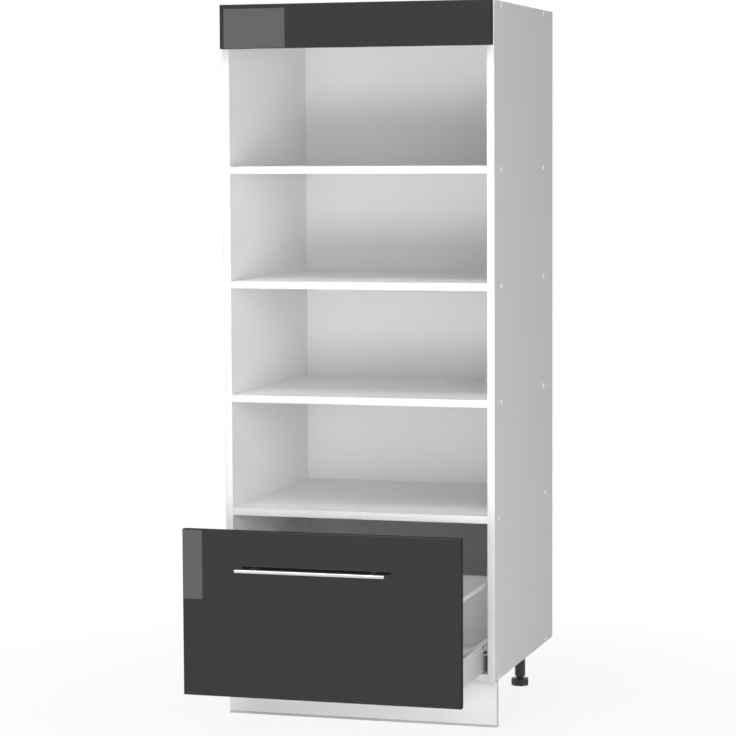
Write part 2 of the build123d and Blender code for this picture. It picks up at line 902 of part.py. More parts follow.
def write_brackets():
    """Write the fascia and the brackets at the top of the carcass."""
    write("fascia_panel", fascia_panel())
    write_pair("fascia_bracket", fascia_bracket())
    write("fascia_screws", screws_of(on_both_sides(fascia_side_screws() + fascia_front_screws())))
    write_pair("wall_bracket", wall_bracket())
    write("wall_bracket_screws", screws_of(on_both_sides(wall_bracket_screws())))


def write_base():
    """Write the legs, the feet and the plinth."""
    for place, centre in leg_centres().items():
        write(f"leg_{place}", leg(centre))
        write(f"foot_{place}", foot(centre))
    write("leg_screws", screws_of(all_leg_screws()))
    write("plinth_panel", plinth_panel())
    write("plinth_seal", plinth_seal())
    write_pair("plinth_clip", plinth_clip(leg_centres()["front_right"]))
    write("plinth_clip_screws", screws_of(all_clip_screws()))


def write_runners():
    """Write the fixed runners with their rollers."""
    write_pair("cabinet_runner", cabinet_runner())
    write_pair("runner_roller", roller(front_roller_y, front_roller_level))
    write("runner_axles", both([front_axle()]))
    write("runner_screws", screws_of(on_both_sides(runner_screws())))


def write_drawer_box():
    """Write the drawer's box, its rails and its rollers."""
    write_pair("drawer_side", drawer_side(), drawer_shift)
    write_pair("back_bracket", back_bracket(), drawer_shift)
    write_pair("front_angle", front_angle(), drawer_shift)
    write_pair("railing", railing(), drawer_shift)
    write_pair("drawer_roller", roller(rear_roller_y, rear_roller_level), drawer_shift)
    write("railing_holders", both(railing_holders()), drawer_shift)
    write("drawer_axles", both([rear_axle()]), drawer_shift)
    write("drawer_bottom", drawer_bottom(), drawer_shift)
    write("drawer_back", drawer_back(), drawer_shift)
    places = drawer_front_screws() + drawer_back_screws() + drawer_floor_screws()
    write("drawer_screws", screws_of(on_both_sides(places)), drawer_shift)


def write_drawer_front():
    """Write the drawer's front with its handle."""
    write("drawer_front", drawer_front(), drawer_shift)
    write("drawer_bumpers", bumpers(), drawer_shift)
    write("handle_bar", handle_bar(), drawer_shift)
    write("handle_posts", handle_posts(), drawer_shift)
    write("handle_screws", handle_screws(), drawer_shift)


os.makedirs("parts", exist_ok=True)
write_carcass()
write_brackets()
write_base()
write_runners()
write_drawer_box()
write_drawer_front()
print(f"The carcass is {cabinet_width:.0f} wide, {carcass_depth:.0f} deep and {carcass_top:.0f} high.")
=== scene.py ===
"""The looks of the kitchen shelf unit: its finishes, its finer pieces, the studio and the camera.

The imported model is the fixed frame. Lengths are in metres, with X to the unit's right, Y to its back
and Z up from the floor. The drawer stands open, as in the photograph.
"""

import json
import logging
import math
from dataclasses import dataclass
from enum import Enum
from typing import Callable, Dict, List, Optional, Sequence, Tuple, Union

import bmesh
import bpy
from mathutils import Euler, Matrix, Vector

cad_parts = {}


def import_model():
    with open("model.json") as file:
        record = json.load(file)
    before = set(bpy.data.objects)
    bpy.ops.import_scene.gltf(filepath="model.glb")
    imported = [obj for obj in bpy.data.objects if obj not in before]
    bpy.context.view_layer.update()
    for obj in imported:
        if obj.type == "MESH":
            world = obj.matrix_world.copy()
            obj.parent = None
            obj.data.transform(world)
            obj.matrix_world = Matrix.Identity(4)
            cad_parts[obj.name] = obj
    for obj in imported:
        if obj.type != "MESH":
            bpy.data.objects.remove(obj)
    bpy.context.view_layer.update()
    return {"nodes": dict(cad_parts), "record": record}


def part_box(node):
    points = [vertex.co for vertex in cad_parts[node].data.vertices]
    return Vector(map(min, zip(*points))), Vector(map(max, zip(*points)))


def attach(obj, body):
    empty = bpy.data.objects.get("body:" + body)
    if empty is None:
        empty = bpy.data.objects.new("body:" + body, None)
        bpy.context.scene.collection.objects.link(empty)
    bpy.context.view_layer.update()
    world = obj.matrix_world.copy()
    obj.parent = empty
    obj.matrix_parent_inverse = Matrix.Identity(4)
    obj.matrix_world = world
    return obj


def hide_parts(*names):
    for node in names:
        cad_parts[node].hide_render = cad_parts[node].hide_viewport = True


log = logging.getLogger("kitchen_shelf_unit")

Colour = Tuple[float, float, float]
Point = Tuple[float, float, float]
Pair = Tuple[float, float]
Amount = Union["Value", float]
Test = Callable[[Vector, Vector], bool]

ORIGIN: Point = (0.0, 0.0, 0.0)
QUARTER_TURN = math.pi / 2
MERGE_REACH = 1e-6
SMOOTH_ANGLE = math.radians(40)
SHARP_ANGLE = math.radians(50)

# A way of length one runs along an axis if its part there is over ALONG, and across it if under ACROSS.
ALONG = 0.9
ACROSS = 0.1


class Axis(Enum):
    """The three directions of the unit, by their place in a vector."""

    X = 0
    Y = 1
    Z = 2


class RawEdge(Enum):
    """Which edges of a chipboard panel have no band over the core."""

    NONE = 0
    REAR = 1
    REAR_AND_FOOT = 2


class Pick(Enum):
    """What an edit step takes hold of."""

    CORNERS = "VERT"
    EDGES = "EDGE"
    FACES = "FACE"


@dataclass(frozen=True)
class Frame:
    """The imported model: its nodes by name, and the body that each node belongs to."""

    nodes: Dict[str, bpy.types.Object]
    bodies: Dict[str, str]


@dataclass(frozen=True)
class Seat:
    """Where the head of a screw rests, the way that the head faces, and the screw's whole length."""

    place: Vector
    way: Vector
    length: float


def let_go() -> None:
    """Leaves edit mode and deselects everything."""
    if bpy.context.mode != "OBJECT":
        bpy.ops.object.mode_set(mode="OBJECT")
    bpy.ops.object.select_all(action="DESELECT")


def near(place: Sequence[float], goal: Sequence[Optional[float]], reach: float = 0.0002) -> bool:
    """Whether a place is at a goal, on each axis where the goal has a number."""
    return all(wanted is None or abs(has - wanted) < reach for has, wanted in zip(place, goal))


def runs_through(corners: Sequence[Pair], axis: Axis) -> Test:
    """A test for the edges along an axis that pass through one of some corners of a profile.

    Args:
        corners: Places across the axis, in the order of the two other axes.
        axis: The axis that the edges run along.

    Returns:
        The test.
    """
    others = [i for i in range(3) if i != axis.value]

    def passes(place: Vector, way: Vector) -> bool:
        """Whether an edge runs along the axis through one of the corners."""
        seen = (place[others[0]], place[others[1]])
        return abs(way[axis.value]) > ALONG and any(near(seen, corner) for corner in corners)

    return passes


def box_of(corners: Sequence[Vector]) -> Tuple[Vector, Vector]:
    """The lowest and the highest corner of some points."""
    return tuple(Vector([pick(corner[i] for corner in corners) for i in range(3)]) for pick in (min, max))


class Shape:
    """One mesh that is worked with Blender's own tools, as by hand."""

    turns = {Axis.X: (0.0, QUARTER_TURN, 0.0), Axis.Y: (-QUARTER_TURN, 0.0, 0.0), Axis.Z: ORIGIN}

    def __init__(self, piece: bpy.types.Object, name: str) -> None:
        """Takes an object over, names it and sets its place into its mesh.

        Args:
            piece: The object.
            name: Its new name.
        """
        self.piece = piece
        piece.name = name
        piece.data.name = name
        self.focus()
        bpy.ops.object.transform_apply(location=True, rotation=True, scale=True)

    @classmethod
    def block(cls, name: str, low: Point, high: Point) -> "Shape":
        """A box between its lowest and its highest corner.

        Args:
            name: The name of the piece.
            low: Its lowest corner.
            high: Its highest corner.

        Returns:
            The box.
        """
        let_go()
        middle = [(start + end) / 2 for start, end in zip(low, high)]
        bpy.ops.mesh.primitive_cube_add(size=1.0, location=middle)
        bpy.context.object.scale = [end - start for start, end in zip(low, high)]
        return cls(bpy.context.object, name)

    @classmethod
    def bar(
        cls, name: str, radius: float, start: Point, length: float, axis: Axis, sides: int = 32
    ) -> "Shape":
        """A round bar that runs from a point along an axis.

        Args:
            name: The name of the piece.
            radius: Its radius.
            start: The middle of its first end.
            length: How far it runs.
            axis: The axis that it runs along.
            sides: How many sides stand for its round.

        Returns:
            The bar.
        """
        let_go()
        middle = list(start)
        middle[axis.value] += length / 2
        bpy.ops.mesh.primitive_cylinder_add(
            vertices=sides, radius=radius, depth=length, location=middle, rotation=cls.turns[axis]
        )
        return cls(bpy.context.object, name)

    @classmethod
    def sheet(cls, name: str, path: Sequence[Pair], span: Pair) -> "Shape":
        """A thin sheet along Y that follows a path of X and Z points, faced to the left of the path.

        Args:
            name: The name of the piece.
            path: The corners of its profile.
            span: Where it starts and ends along Y.

        Returns:
            The sheet, still without a thickness.
        """
        (start_x, start_z), (end_x, end_z) = path[:2]
        run = Vector((end_x - start_x, end_z - start_z))
        middle = ((start_x + end_x) / 2, (span[0] + span[1]) / 2, (start_z + end_z) / 2)
        turn = (0.0, -math.atan2(run.y, run.x), 0.0)
        let_go()
        bpy.ops.mesh.primitive_plane_add(size=1.0, location=middle, rotation=turn)
        bpy.context.object.scale = (run.length, span[1] - span[0], 1.0)
        made = cls(bpy.context.object, name)
        made.pick(Pick.EDGES, lambda place, way: abs(way.y) > ALONG and near(place, (end_x, None, end_z)))
        for before, after in zip(path[1:], path[2:]):
            made.extrude((after[0] - before[0], 0.0, after[1] - before[1]))
        return made

    @classmethod
    def upright_sheet(cls, name: str, path: Sequence[Pair], span: Pair) -> "Shape":
        """A thin sheet along Z that follows a path of X and Y points, faced to the left of the path."""
        return cls.sheet(name, path, (-span[1], -span[0])).swing((-QUARTER_TURN, 0.0, 0.0))

    def focus(self) -> None:
        """Makes the piece the only one that is selected, and the active one."""
        let_go()
        self.piece.select_set(True)
        bpy.context.view_layer.objects.active = self.piece

    def box(self) -> Tuple[Vector, Vector]:
        """The lowest and the highest corner of its mesh."""
        return box_of([corner.co for corner in self.piece.data.vertices])

    def edit(self, kind: Pick, action: str = "DESELECT") -> "Shape":
        """Goes to edit mode with all or none of the mesh selected.

        Args:
            kind: What the next steps take hold of.
            action: SELECT or DESELECT.

        Returns:
            The shape.
        """
        if bpy.context.object is not self.piece or bpy.context.mode != "EDIT_MESH":
            self.focus()
            bpy.ops.object.mode_set(mode="EDIT")
        bpy.ops.mesh.select_mode(type=kind.value)
        bpy.ops.mesh.select_all(action=action)
        return self

    def pick(self, kind: Pick, test: Test) -> "Shape":
        """Selects the edges or faces that pass a test of their place and their way.

        Args:
            kind: What is picked.
            test: Takes the place, and a face's normal or an edge's own way, and says whether it is picked.

        Returns:
            The shape.
        """
        self.edit(kind)
        mesh = bmesh.from_edit_mesh(self.piece.data)
        if kind is Pick.FACES:
            picked = [face for face in mesh.faces if test(face.calc_center_median(), face.normal)]
        else:
            ends = {edge: [corner.co for corner in edge.verts] for edge in mesh.edges}
            picked = [edge for edge, (a, b) in ends.items() if test((a + b) / 2, (b - a).normalized())]
        for element in picked:
            element.select_set(True)
        mesh.select_flush_mode()
        bmesh.update_edit_mesh(self.piece.data)
        return self

    def extrude(self, way: Point) -> "Shape":
        """Pulls new faces out of what is picked."""
        bpy.ops.mesh.extrude_region_move(TRANSFORM_OT_translate={"value": way})
        return self

    def inset(self, rim: float, depth: float = 0.0) -> "Shape":
        """Sets the picked faces in from their rim, and sinks them where the depth is below nought."""
        bpy.ops.mesh.inset(thickness=rim, depth=depth, use_individual=True)
        return self

    def bevel(self, width: float, segments: int = 3) -> "Shape":
        """Rounds the picked edges."""
        bpy.ops.mesh.bevel(offset=width, segments=segments, affect="EDGES", clamp_overlap=True)
        return self

    def modify(self, kind: str, **settings: object) -> "Shape":
        """Adds a modifier with its settings and applies it.

        Args:
            kind: The modifier's type.
            settings: Its settings.

        Returns:
            The shape.
        """
        self.focus()
        modifier = self.piece.modifiers.new(kind.lower(), kind)
        for key, setting in settings.items():
            setattr(modifier, key, setting)
        bpy.ops.object.modifier_apply(modifier=modifier.name)
        return self

    def thicken(self, thickness: float, ease: float = 0.00012) -> "Shape":
        """Gives a sheet its thickness on its faced side, and eases the edges of its cut rim."""
        self.modify("SOLIDIFY", thickness=thickness, offset=1.0, use_even_offset=True)
        return self.ease(ease, 1)

    def ease(self, width: float, segments: int = 2) -> "Shape":
        """Rounds all sharp edges a little."""
        limit = {"limit_method": "ANGLE", "angle_limit": SHARP_ANGLE}
        return self.modify("BEVEL", width=width, segments=segments, **limit)

    def cut(self, *tools: "Shape") -> "Shape":
        """Takes other shapes out of this one and throws them away.

        Args:
            tools: The other shapes.

        Returns:
            The shape.
        """
        for tool in tools:
            self.modify("BOOLEAN", operation="DIFFERENCE", object=tool.piece, solver="EXACT")
            bpy.data.objects.remove(tool.piece)
        return self

    def swing(self, turn: Point) -> "Shape":
        """Turns the shape about the origin.

        Args:
            turn: How far it turns about each axis.

        Returns:
            The shape.
        """
        self.focus()
        self.piece.rotation_euler = turn
        return Shape(self.piece, self.piece.name)

    def copy(self, name: str, turn: Point = ORIGIN, place: Point = ORIGIN) -> "Shape":
        """A copy with its own mesh, which is turned and moved.

        Args:
            name: The name of the copy.
            turn: How far it turns about each axis.
            place: Where its origin goes.

        Returns:
            The copy.
        """
        self.focus()
        bpy.ops.object.duplicate(linked=False)
        bpy.context.object.rotation_euler = turn
        bpy.context.object.location = place
        return Shape(bpy.context.object, name)

    def mirrored(self, name: str) -> "Shape":
        """A copy on the other side of the unit, turned right side out again.

        Args:
            name: The name of the copy.

        Returns:
            The copy.
        """
        twin = self.copy(name)
        twin.edit(Pick.CORNERS, "SELECT")
        bpy.ops.transform.resize(value=(-1.0, 1.0, 1.0), center_override=ORIGIN)
        bpy.ops.mesh.remove_doubles(threshold=MERGE_REACH)
        bpy.ops.mesh.normals_make_consistent(inside=False)
        twin.focus()
        return twin

    def join(self, *others: "Shape") -> "Shape":
        """Makes other shapes a part of this one.

        Args:
            others: The other shapes.

        Returns:
            The shape.
        """
        self.focus()
        for other in others:
            other.piece.select_set(True)
        bpy.ops.object.join()
        return self

    def drill(self, seats: Sequence[Seat], radius: float = 0.00225, depth: float = 0.004) -> "Shape":
        """Cuts a hole for each screw that rests on the piece.

        Args:
            seats: The screws' seats, of which those elsewhere are left out.
            radius: The radius of a hole.
            depth: How far it goes in from the seat.

        Returns:
            The shape.
        """
        low, high = self.box()
        slack, above = 0.0001, 0.001
        for seat in seats:
            if all(low[i] - slack < seat.place[i] < high[i] + slack for i in range(3)):
                axis = max(Axis, key=lambda way: abs(seat.way[way.value]))
                start = list(seat.place - seat.way * (depth - above) / 2)
                start[axis.value] -= (depth + above) / 2
                self.cut(Shape.bar("hole", radius, start, depth + above, axis, 24))
        return self

    def settle(self, node: str, slot: str, finish: "Finish", frame: Frame) -> None:
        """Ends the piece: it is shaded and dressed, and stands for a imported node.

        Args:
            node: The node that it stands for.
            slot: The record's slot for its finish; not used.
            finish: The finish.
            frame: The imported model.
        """
        self.focus()
        bpy.ops.object.shade_smooth_by_angle(angle=SMOOTH_ANGLE)
        self.piece.data.materials.clear()
        self.piece.data.materials.append(finish.material())
        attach(self.piece, frame.bodies[node])
        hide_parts(node)
        gap = max(abs(has[i] - wanted[i]) for has, wanted in zip(self.box(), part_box(node)) for i in range(3))
        log.info("made %s for %s, %.2f mm from its box", self.piece.name, node, gap * 1000)


def loose_parts(node: bpy.types.Object) -> List[List[Vector]]:
    """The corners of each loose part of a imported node, taken from a merged copy.

    Args:
        node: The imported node.

    Returns:
        One list of corners for each part.
    """
    copy = bpy.data.objects.new("merged_copy", node.data.copy())
    bpy.context.scene.collection.objects.link(copy)
    Shape(copy, "merged_copy").edit(Pick.CORNERS, "SELECT")
    bpy.ops.mesh.remove_doubles(threshold=MERGE_REACH)
    bpy.ops.mesh.separate(type="LOOSE")
    bpy.ops.object.mode_set(mode="OBJECT")
    parts = [[corner.co.copy() for corner in part.data.vertices] for part in bpy.context.selected_objects]
    for part in list(bpy.context.selected_objects):
        bpy.data.objects.remove(part)
    return parts


@dataclass(frozen=True)
class Screw:
    """A pan head screw with a cross recess."""

    head_radius: float = 0.0036
    head_height: float = 0.0012
    shank_radius: float = 0.0019
    recess_length: float = 0.0036
    recess_width: float = 0.0007
    rounding: float = 0.62
    recess_floor: float = 0.3
    tip: float = 0.15
    sides: int = 24

    def model(self, length: float) -> Shape:
        """The screw with its head upwards and its seat at the origin.

        Args:
            length: The whole length, with the head.

        Returns:
            The screw.
        """
        rim = self.head_height
        screw = Shape.bar("screw", self.head_radius, ORIGIN, rim, Axis.Z, self.sides)
        screw.pick(Pick.EDGES, lambda place, way: near(place, (None, None, rim)) and abs(way.z) < ACROSS)
        screw.bevel(rim * self.rounding)
        screw.pick(Pick.FACES, lambda place, way: way.z < -ALONG)
        screw.inset(self.head_radius - self.shank_radius)
        screw.extrude((0.0, 0.0, -(length - rim - self.shank_radius)))
        screw.extrude((0.0, 0.0, -self.shank_radius))
        bpy.ops.transform.resize(value=(self.tip, self.tip, 1.0))
        half, across = self.recess_length / 2, self.recess_width / 2
        for x, y in ((half, across), (across, half)):
            screw.cut(Shape.block("recess", (-x, -y, rim * self.recess_floor), (x, y, rim * 2)))
        return screw

    def seats(self, node: bpy.types.Object) -> List[Seat]:
        """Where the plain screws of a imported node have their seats.

        Args:
            node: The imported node.

        Returns:
            One seat for each screw.
        """
        seats, flush = [], 1e-5
        for corners in loose_parts(node):
            low, high = box_of(corners)
            size, middle = high - low, (low + high) / 2
            axis = max(range(3), key=lambda i: size[i])
            reach = [
                max((corner - middle).length for corner in corners if abs(corner[axis] - end) < flush)
                for end in (low[axis], high[axis])
            ]
            way = Vector(ORIGIN)
            way[axis] = 1.0 if reach[1] > reach[0] else -1.0
            place = middle + way * (size[axis] / 2 - self.head_height)
            seats.append(Seat(place, way, round(size[axis], 5)))
        return seats

    def replace(self, node: str, finish: "Finish", frame: Frame) -> List[Seat]:
        """Models the screw once for each length in a node, and sets a copy at each place.

        Args:
            node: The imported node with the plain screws.
            finish: Their finish.
            frame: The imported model.

        Returns:
            The seats of the screws.
        """
        seats = self.seats(frame.nodes[node])
        patterns = {length: self.model(length) for length in sorted({seat.length for seat in seats})}
        copies = [
            patterns[seat.length].copy("screw", seat.way.to_track_quat("Z", "Y").to_euler(), seat.place)
            for seat in seats
        ]
        for pattern in patterns.values():
            bpy.data.objects.remove(pattern.piece)
        whole = copies[0].join(*copies[1:])
        whole.piece.name = f"recessed_{node}"
        whole.settle(node, "zinc_steel", finish, frame)
        return seats


def operator(operation: str, turned: bool = False) -> Callable[["Value", Amount], "Value"]:
    """An operator of Value, which adds one Math node.

    Args:
        operation: The node's operation.
        turned: Whether the other amount comes first.

    Returns:
        The operator.
    """

    def apply(value: "Value", other: Amount) -> "Value":
        """The result of the node on the two amounts."""
        return value.graph.math(operation, *((other, value) if turned else (value, other)))

    return apply


class Value:
    """A number, colour or vector that runs through a finish's nodes."""

    __add__, __radd__ = operator("ADD"), operator("ADD", True)
    __sub__, __rsub__ = operator("SUBTRACT"), operator("SUBTRACT", True)
    __mul__, __rmul__ = operator("MULTIPLY"), operator("MULTIPLY", True)
    __gt__, __lt__ = operator("GREATER_THAN"), operator("LESS_THAN")

    def __init__(self, graph: "Graph", socket: bpy.types.NodeSocket) -> None:
        """Keeps the graph and the socket that the value comes out of."""
        self.graph = graph
        self.socket = socket

    def __abs__(self) -> "Value":
        """This value without its sign."""
        return self.graph.math("ABSOLUTE", self)


class Graph:
    """The nodes of one material or of the world, added one at a time."""

    def __init__(self, owner: Union[bpy.types.Material, bpy.types.World]) -> None:
        """Empties the node tree of a material or world.

        Args:
            owner: The material or world that the nodes belong to.
        """
        owner.use_nodes = True
        self.owner = owner
        self.tree = owner.node_tree
        self.tree.nodes.clear()

    def node(
        self,
        kind: str,
        settings: Optional[Dict[str, object]] = None,
        sockets: Optional[Dict[Union[str, int], object]] = None,
        output: Union[str, int] = 0,
    ) -> Value:
        """Adds a node, sets it, feeds its sockets and gives one of its outputs.

        Args:
            kind: The node's type.
            settings: Its settings, such as an operation, or a ramp's stops as (place, colour) pairs.
            sockets: Values, links or constants for its input sockets.
            output: The name or number of the output.

        Returns:
            The value that comes out of the node.
        """
        made = self.tree.nodes.new(kind)
        for key, setting in (settings or {}).items():
            if key == "stops":
                self.set_stops(made.color_ramp, setting)
            else:
                setattr(made, key, setting)
        for key, given in (sockets or {}).items():
            if isinstance(given, Value):
                self.tree.links.new(given.socket, made.inputs[key])
            else:
                made.inputs[key].default_value = given
        return Value(self, made.outputs[output])

    @staticmethod
    def set_stops(ramp: bpy.types.ColorRamp, stops: Sequence[Tuple[float, Colour]]) -> None:
        """Gives a colour ramp its stops.

        Args:
            ramp: The ramp.
            stops: The place and colour of each stop, in order.
        """
        while len(ramp.elements) < len(stops):
            ramp.elements.new(1.0)
        for element, (place, colour) in zip(ramp.elements, stops):
            element.position = place
            element.color = (*colour, 1.0)

    def math(self, operation: str, *values: Amount) -> Value:
        """The result of a Math node on one or more values.

        Args:
            operation: The Math node's operation.
            values: Its inputs, in order.

        Returns:
            The result.
        """
        return self.node("ShaderNodeMath", {"operation": operation}, dict(enumerate(values)))

    def place(self, size: Union[float, Point] = 1.0) -> Value:
        """Object coordinates, counted in a pattern's own size along each axis.

        Args:
            size: The length of one step of the pattern, or its length along each axis.

        Returns:
            The coordinates.
        """
        step = size if isinstance(size, tuple) else (size, size, size)
        where = self.node("ShaderNodeTexCoord", output="Object")
        return self.node("ShaderNodeMapping", {"vector_type": "TEXTURE"}, {"Vector": where, "Scale": step})

    def part(self, output: str, axis: Axis) -> Value:
        """One number of a Texture Coordinate output."""
        whole = self.node("ShaderNodeTexCoord", output=output)
        return self.node("ShaderNodeSeparateXYZ", None, {0: whole}, axis.value)

    def along(self, axis: Axis) -> Value:
        """How far a point lies along one axis of the unit."""
        return self.part("Object", axis)

    def facing(self, axis: Axis) -> Value:
        """How much the surface faces along one axis, from -1 to 1."""
        return self.part("Normal", axis)

    def noise(self, size: Union[float, Point], detail: float = 2.0, rough: float = 0.5) -> Value:
        """A cloudy pattern from 0 to 1.

        Args:
            size: The length of one cloud, or its length along each axis.
            detail: How many finer layers it has.
            rough: How strong the finer layers are.

        Returns:
            The pattern.
        """
        sockets = {"Vector": self.place(size), "Scale": 1.0, "Detail": detail, "Roughness": rough}
        return self.node("ShaderNodeTexNoise", None, sockets)

    def cells(self, size: float, output: str = "Distance") -> Value:
        """A pattern of cells, as the distance to each cell's middle or as a colour per cell.

        Args:
            size: The length of one cell.
            output: Distance or Color.

        Returns:
            The pattern.
        """
        return self.node("ShaderNodeTexVoronoi", None, {"Vector": self.place(size), "Scale": 1.0}, output)

    def spread(self, value: Value, low: float, high: float) -> Value:
        """A value stretched so that low gives 0 and high gives 1, and held between them."""
        sockets = {"Value": value, "From Min": low, "From Max": high}
        return self.node("ShaderNodeMapRange", {"clamp": True}, sockets)

    def ramp(self, value: Value, stops: Sequence[Tuple[float, Colour]]) -> Value:
        """The colour that a value from 0 to 1 has on a ramp."""
        return self.node("ShaderNodeValToRGB", {"stops": stops}, {"Fac": value})

    def blend(self, share: Amount, first: Union[Value, Colour], second: Union[Value, Colour]) -> Value:
        """A colour between two others.

        Args:
            share: 0 for the first colour and 1 for the second.
            first: A colour or a link to one.
            second: A colour or a link to one.

        Returns:
            The colour.
        """
        ends = [given if isinstance(given, Value) else (*given, 1.0) for given in (first, second)]
        return self.node("ShaderNodeMix", {"data_type": "RGBA"}, {0: share, 6: ends[0], 7: ends[1]}, 2)

    def mottle(self, cloud: Value, colour: Colour, dark: float, light: float, edge: float = 0.3) -> Value:
        """A colour that a pattern makes a little darker and lighter.

        Args:
            cloud: The pattern.
            colour: The colour.
            dark: The factor of its darkest shade.
            light: The factor of its lightest shade.
            edge: Up to where the pattern is darkest, and how far below 1 it is lightest.

        Returns:
            The colour.
        """
        return self.blend(self.spread(cloud, edge, 1.0 - edge), shade(colour, dark), shade(colour, light))

    def bump(self, height: Value, depth: float) -> Value:
        """A surface normal that follows a height pattern, whose relief is that deep from 0 to 1."""
        return self.node("ShaderNodeBump", None, {"Height": height, "Distance": depth, "Strength": 1.0})

    def principled(self, colour: Value, roughness: Value, normal: Value, **constants: float) -> Value:
        """The shader of one surface.

        Args:
            colour: The base colour.
            roughness: The roughness.
            normal: The surface normal.
            constants: Further numbers for the shader's own sockets, with _ for each space.

        Returns:
            The shader.
        """
        sockets = {"Base Color": colour, "Roughness": roughness, "Normal": normal}
        sockets.update({key.replace("_", " "): given for key, given in constants.items()})
        return self.node("ShaderNodeBsdfPrincipled", None, sockets)

    def end(self, shader: Value) -> None:
        """Joins a shader to the output of the material or world."""
        kind = "World" if isinstance(self.owner, bpy.types.World) else "Material"
        self.tree.links.new(shader.socket, self.tree.nodes.new(f"ShaderNodeOutput{kind}").inputs["Surface"])


def shade(colour: Colour, factor: float) -> Colour:
    """A colour made lighter or darker by a factor."""
    return (colour[0] * factor, colour[1] * factor, colour[2] * factor)


@dataclass(frozen=True)
class Finish:
    """A finish of the unit, with the name of its material."""

    name: str

    def material(self) -> bpy.types.Material:
        """The material, which is made when it is first asked for.

        Returns:
            The material.
        """
        made = bpy.data.materials.get(self.name)
        if made is None:
            made = bpy.data.materials.new(self.name)
            graph = Graph(made)
            graph.end(self.shader(graph))
        return made

    def shader(self, graph: Graph) -> Value:
        """The shader, which each finish draws in its own way."""
        raise NotImplementedError


@dataclass(frozen=True)
class Melamine(Finish):
    """White melamine on chipboard, whose core shows at edges without a band."""

    raw: RawEdge = RawEdge.NONE
    core_axis: Axis = Axis.X
    core_middle: float = 0.292
    board: float = 0.016
    colour: Colour = (0.885, 0.885, 0.885)
    cloud_size: float = 0.22
    sheen_size: float = 0.05
    pearl_size: float = 0.0011
    crumb_size: float = 0.0022
    chip_size: float = 0.0035
    dust_size: float = 0.0012
    speck_size: float = 0.0028
    speck: Colour = (0.25, 0.15, 0.08)
    browns: Tuple[Colour, ...] = (
        (0.30, 0.19, 0.10), (0.47, 0.33, 0.19), (0.58, 0.43, 0.27), (0.66, 0.52, 0.35)
    )
    relief: float = 0.00004

    def shader(self, graph: Graph) -> Value:
        """The melamine face, the fine and coarse chips of the core, and where each shows.

        Args:
            graph: The material's nodes.

        Returns:
            The shader.
        """
        pearl = graph.noise(self.pearl_size, 2.0, 0.6)
        colour = graph.mottle(graph.noise(self.cloud_size), self.colour, 0.992, 1.006)
        colour = graph.blend(pearl * 0.35, colour, shade(self.colour, 0.985))
        roughness = 0.36 + 0.06 * graph.noise(self.sheen_size, 3.0) + 0.05 * pearl
        height = pearl
        if self.raw is not RawEdge.NONE:
            raw = graph.facing(Axis.Y) > 0.5
            if self.raw is RawEdge.REAR_AND_FOOT:
                raw = graph.math("MAXIMUM", raw, graph.facing(Axis.Z) < -0.5)
            offset = abs(abs(graph.along(self.core_axis)) - self.core_middle)
            outer = graph.spread(offset, self.board * 0.24, self.board * 0.36)
            colour = graph.blend(raw, colour, self.chips(graph, outer))
            roughness = roughness + raw * (0.86 - roughness)
            height = pearl + raw * (graph.noise(self.crumb_size, 4.0, 0.7) * 12.0)
        return graph.principled(colour, roughness, graph.bump(height, self.relief), Specular_IOR_Level=0.45)

    def chips(self, graph: Graph, outer: Value) -> Value:
        """The colour of raw chipboard, fine near its faces and coarse in its core.

        Args:
            graph: The material's nodes.
            outer: 0 in the core and 1 in the outer layers.

        Returns:
            The colour.
        """
        stops = list(zip((0.0, 0.35, 0.7, 1.0), self.browns))
        coarse = graph.ramp(graph.noise(self.chip_size, 3.0, 0.65), stops)
        fine = graph.ramp(graph.noise(self.dust_size, 2.0, 0.6), stops)
        speck = graph.spread(graph.cells(self.speck_size), 0.12, 0.22)
        return graph.blend(outer, graph.blend(speck, self.speck, coarse), fine)


@dataclass(frozen=True)
class BackBoard(Finish):
    """Thin hardboard, lacquered white inside the cabinet and raw on the side of the wall."""

    colour: Colour = (0.875, 0.875, 0.875)
    fibre: Colour = (0.34, 0.21, 0.12)
    cloud_size: float = 0.3
    stain_size: float = 0.18
    grain_size: float = 0.0014
    fibre_size: Point = (0.006, 0.006, 0.0011)
    relief: float = 0.00004

    def shader(self, graph: Graph) -> Value:
        """The lacquered face and the brown fibres behind.

        Args:
            graph: The material's nodes.

        Returns:
            The shader.
        """
        grain = graph.noise(self.grain_size, 2.0, 0.6)
        white = graph.mottle(graph.noise(self.cloud_size), self.colour, 0.99, 1.0)
        fibres = graph.noise(self.fibre_size, 4.0, 0.65)
        brown = graph.mottle(fibres, self.fibre, 0.72, 1.3, 0.25)
        brown = graph.blend(graph.noise(self.stain_size) * 0.5, brown, shade(self.fibre, 0.85))
        raw = graph.facing(Axis.Y) > 0.5
        normal = graph.bump(grain + raw * (fibres * 2.0), self.relief)
        return graph.principled(graph.blend(raw, white, brown), 0.44 + raw * 0.4 + 0.05 * grain, normal)


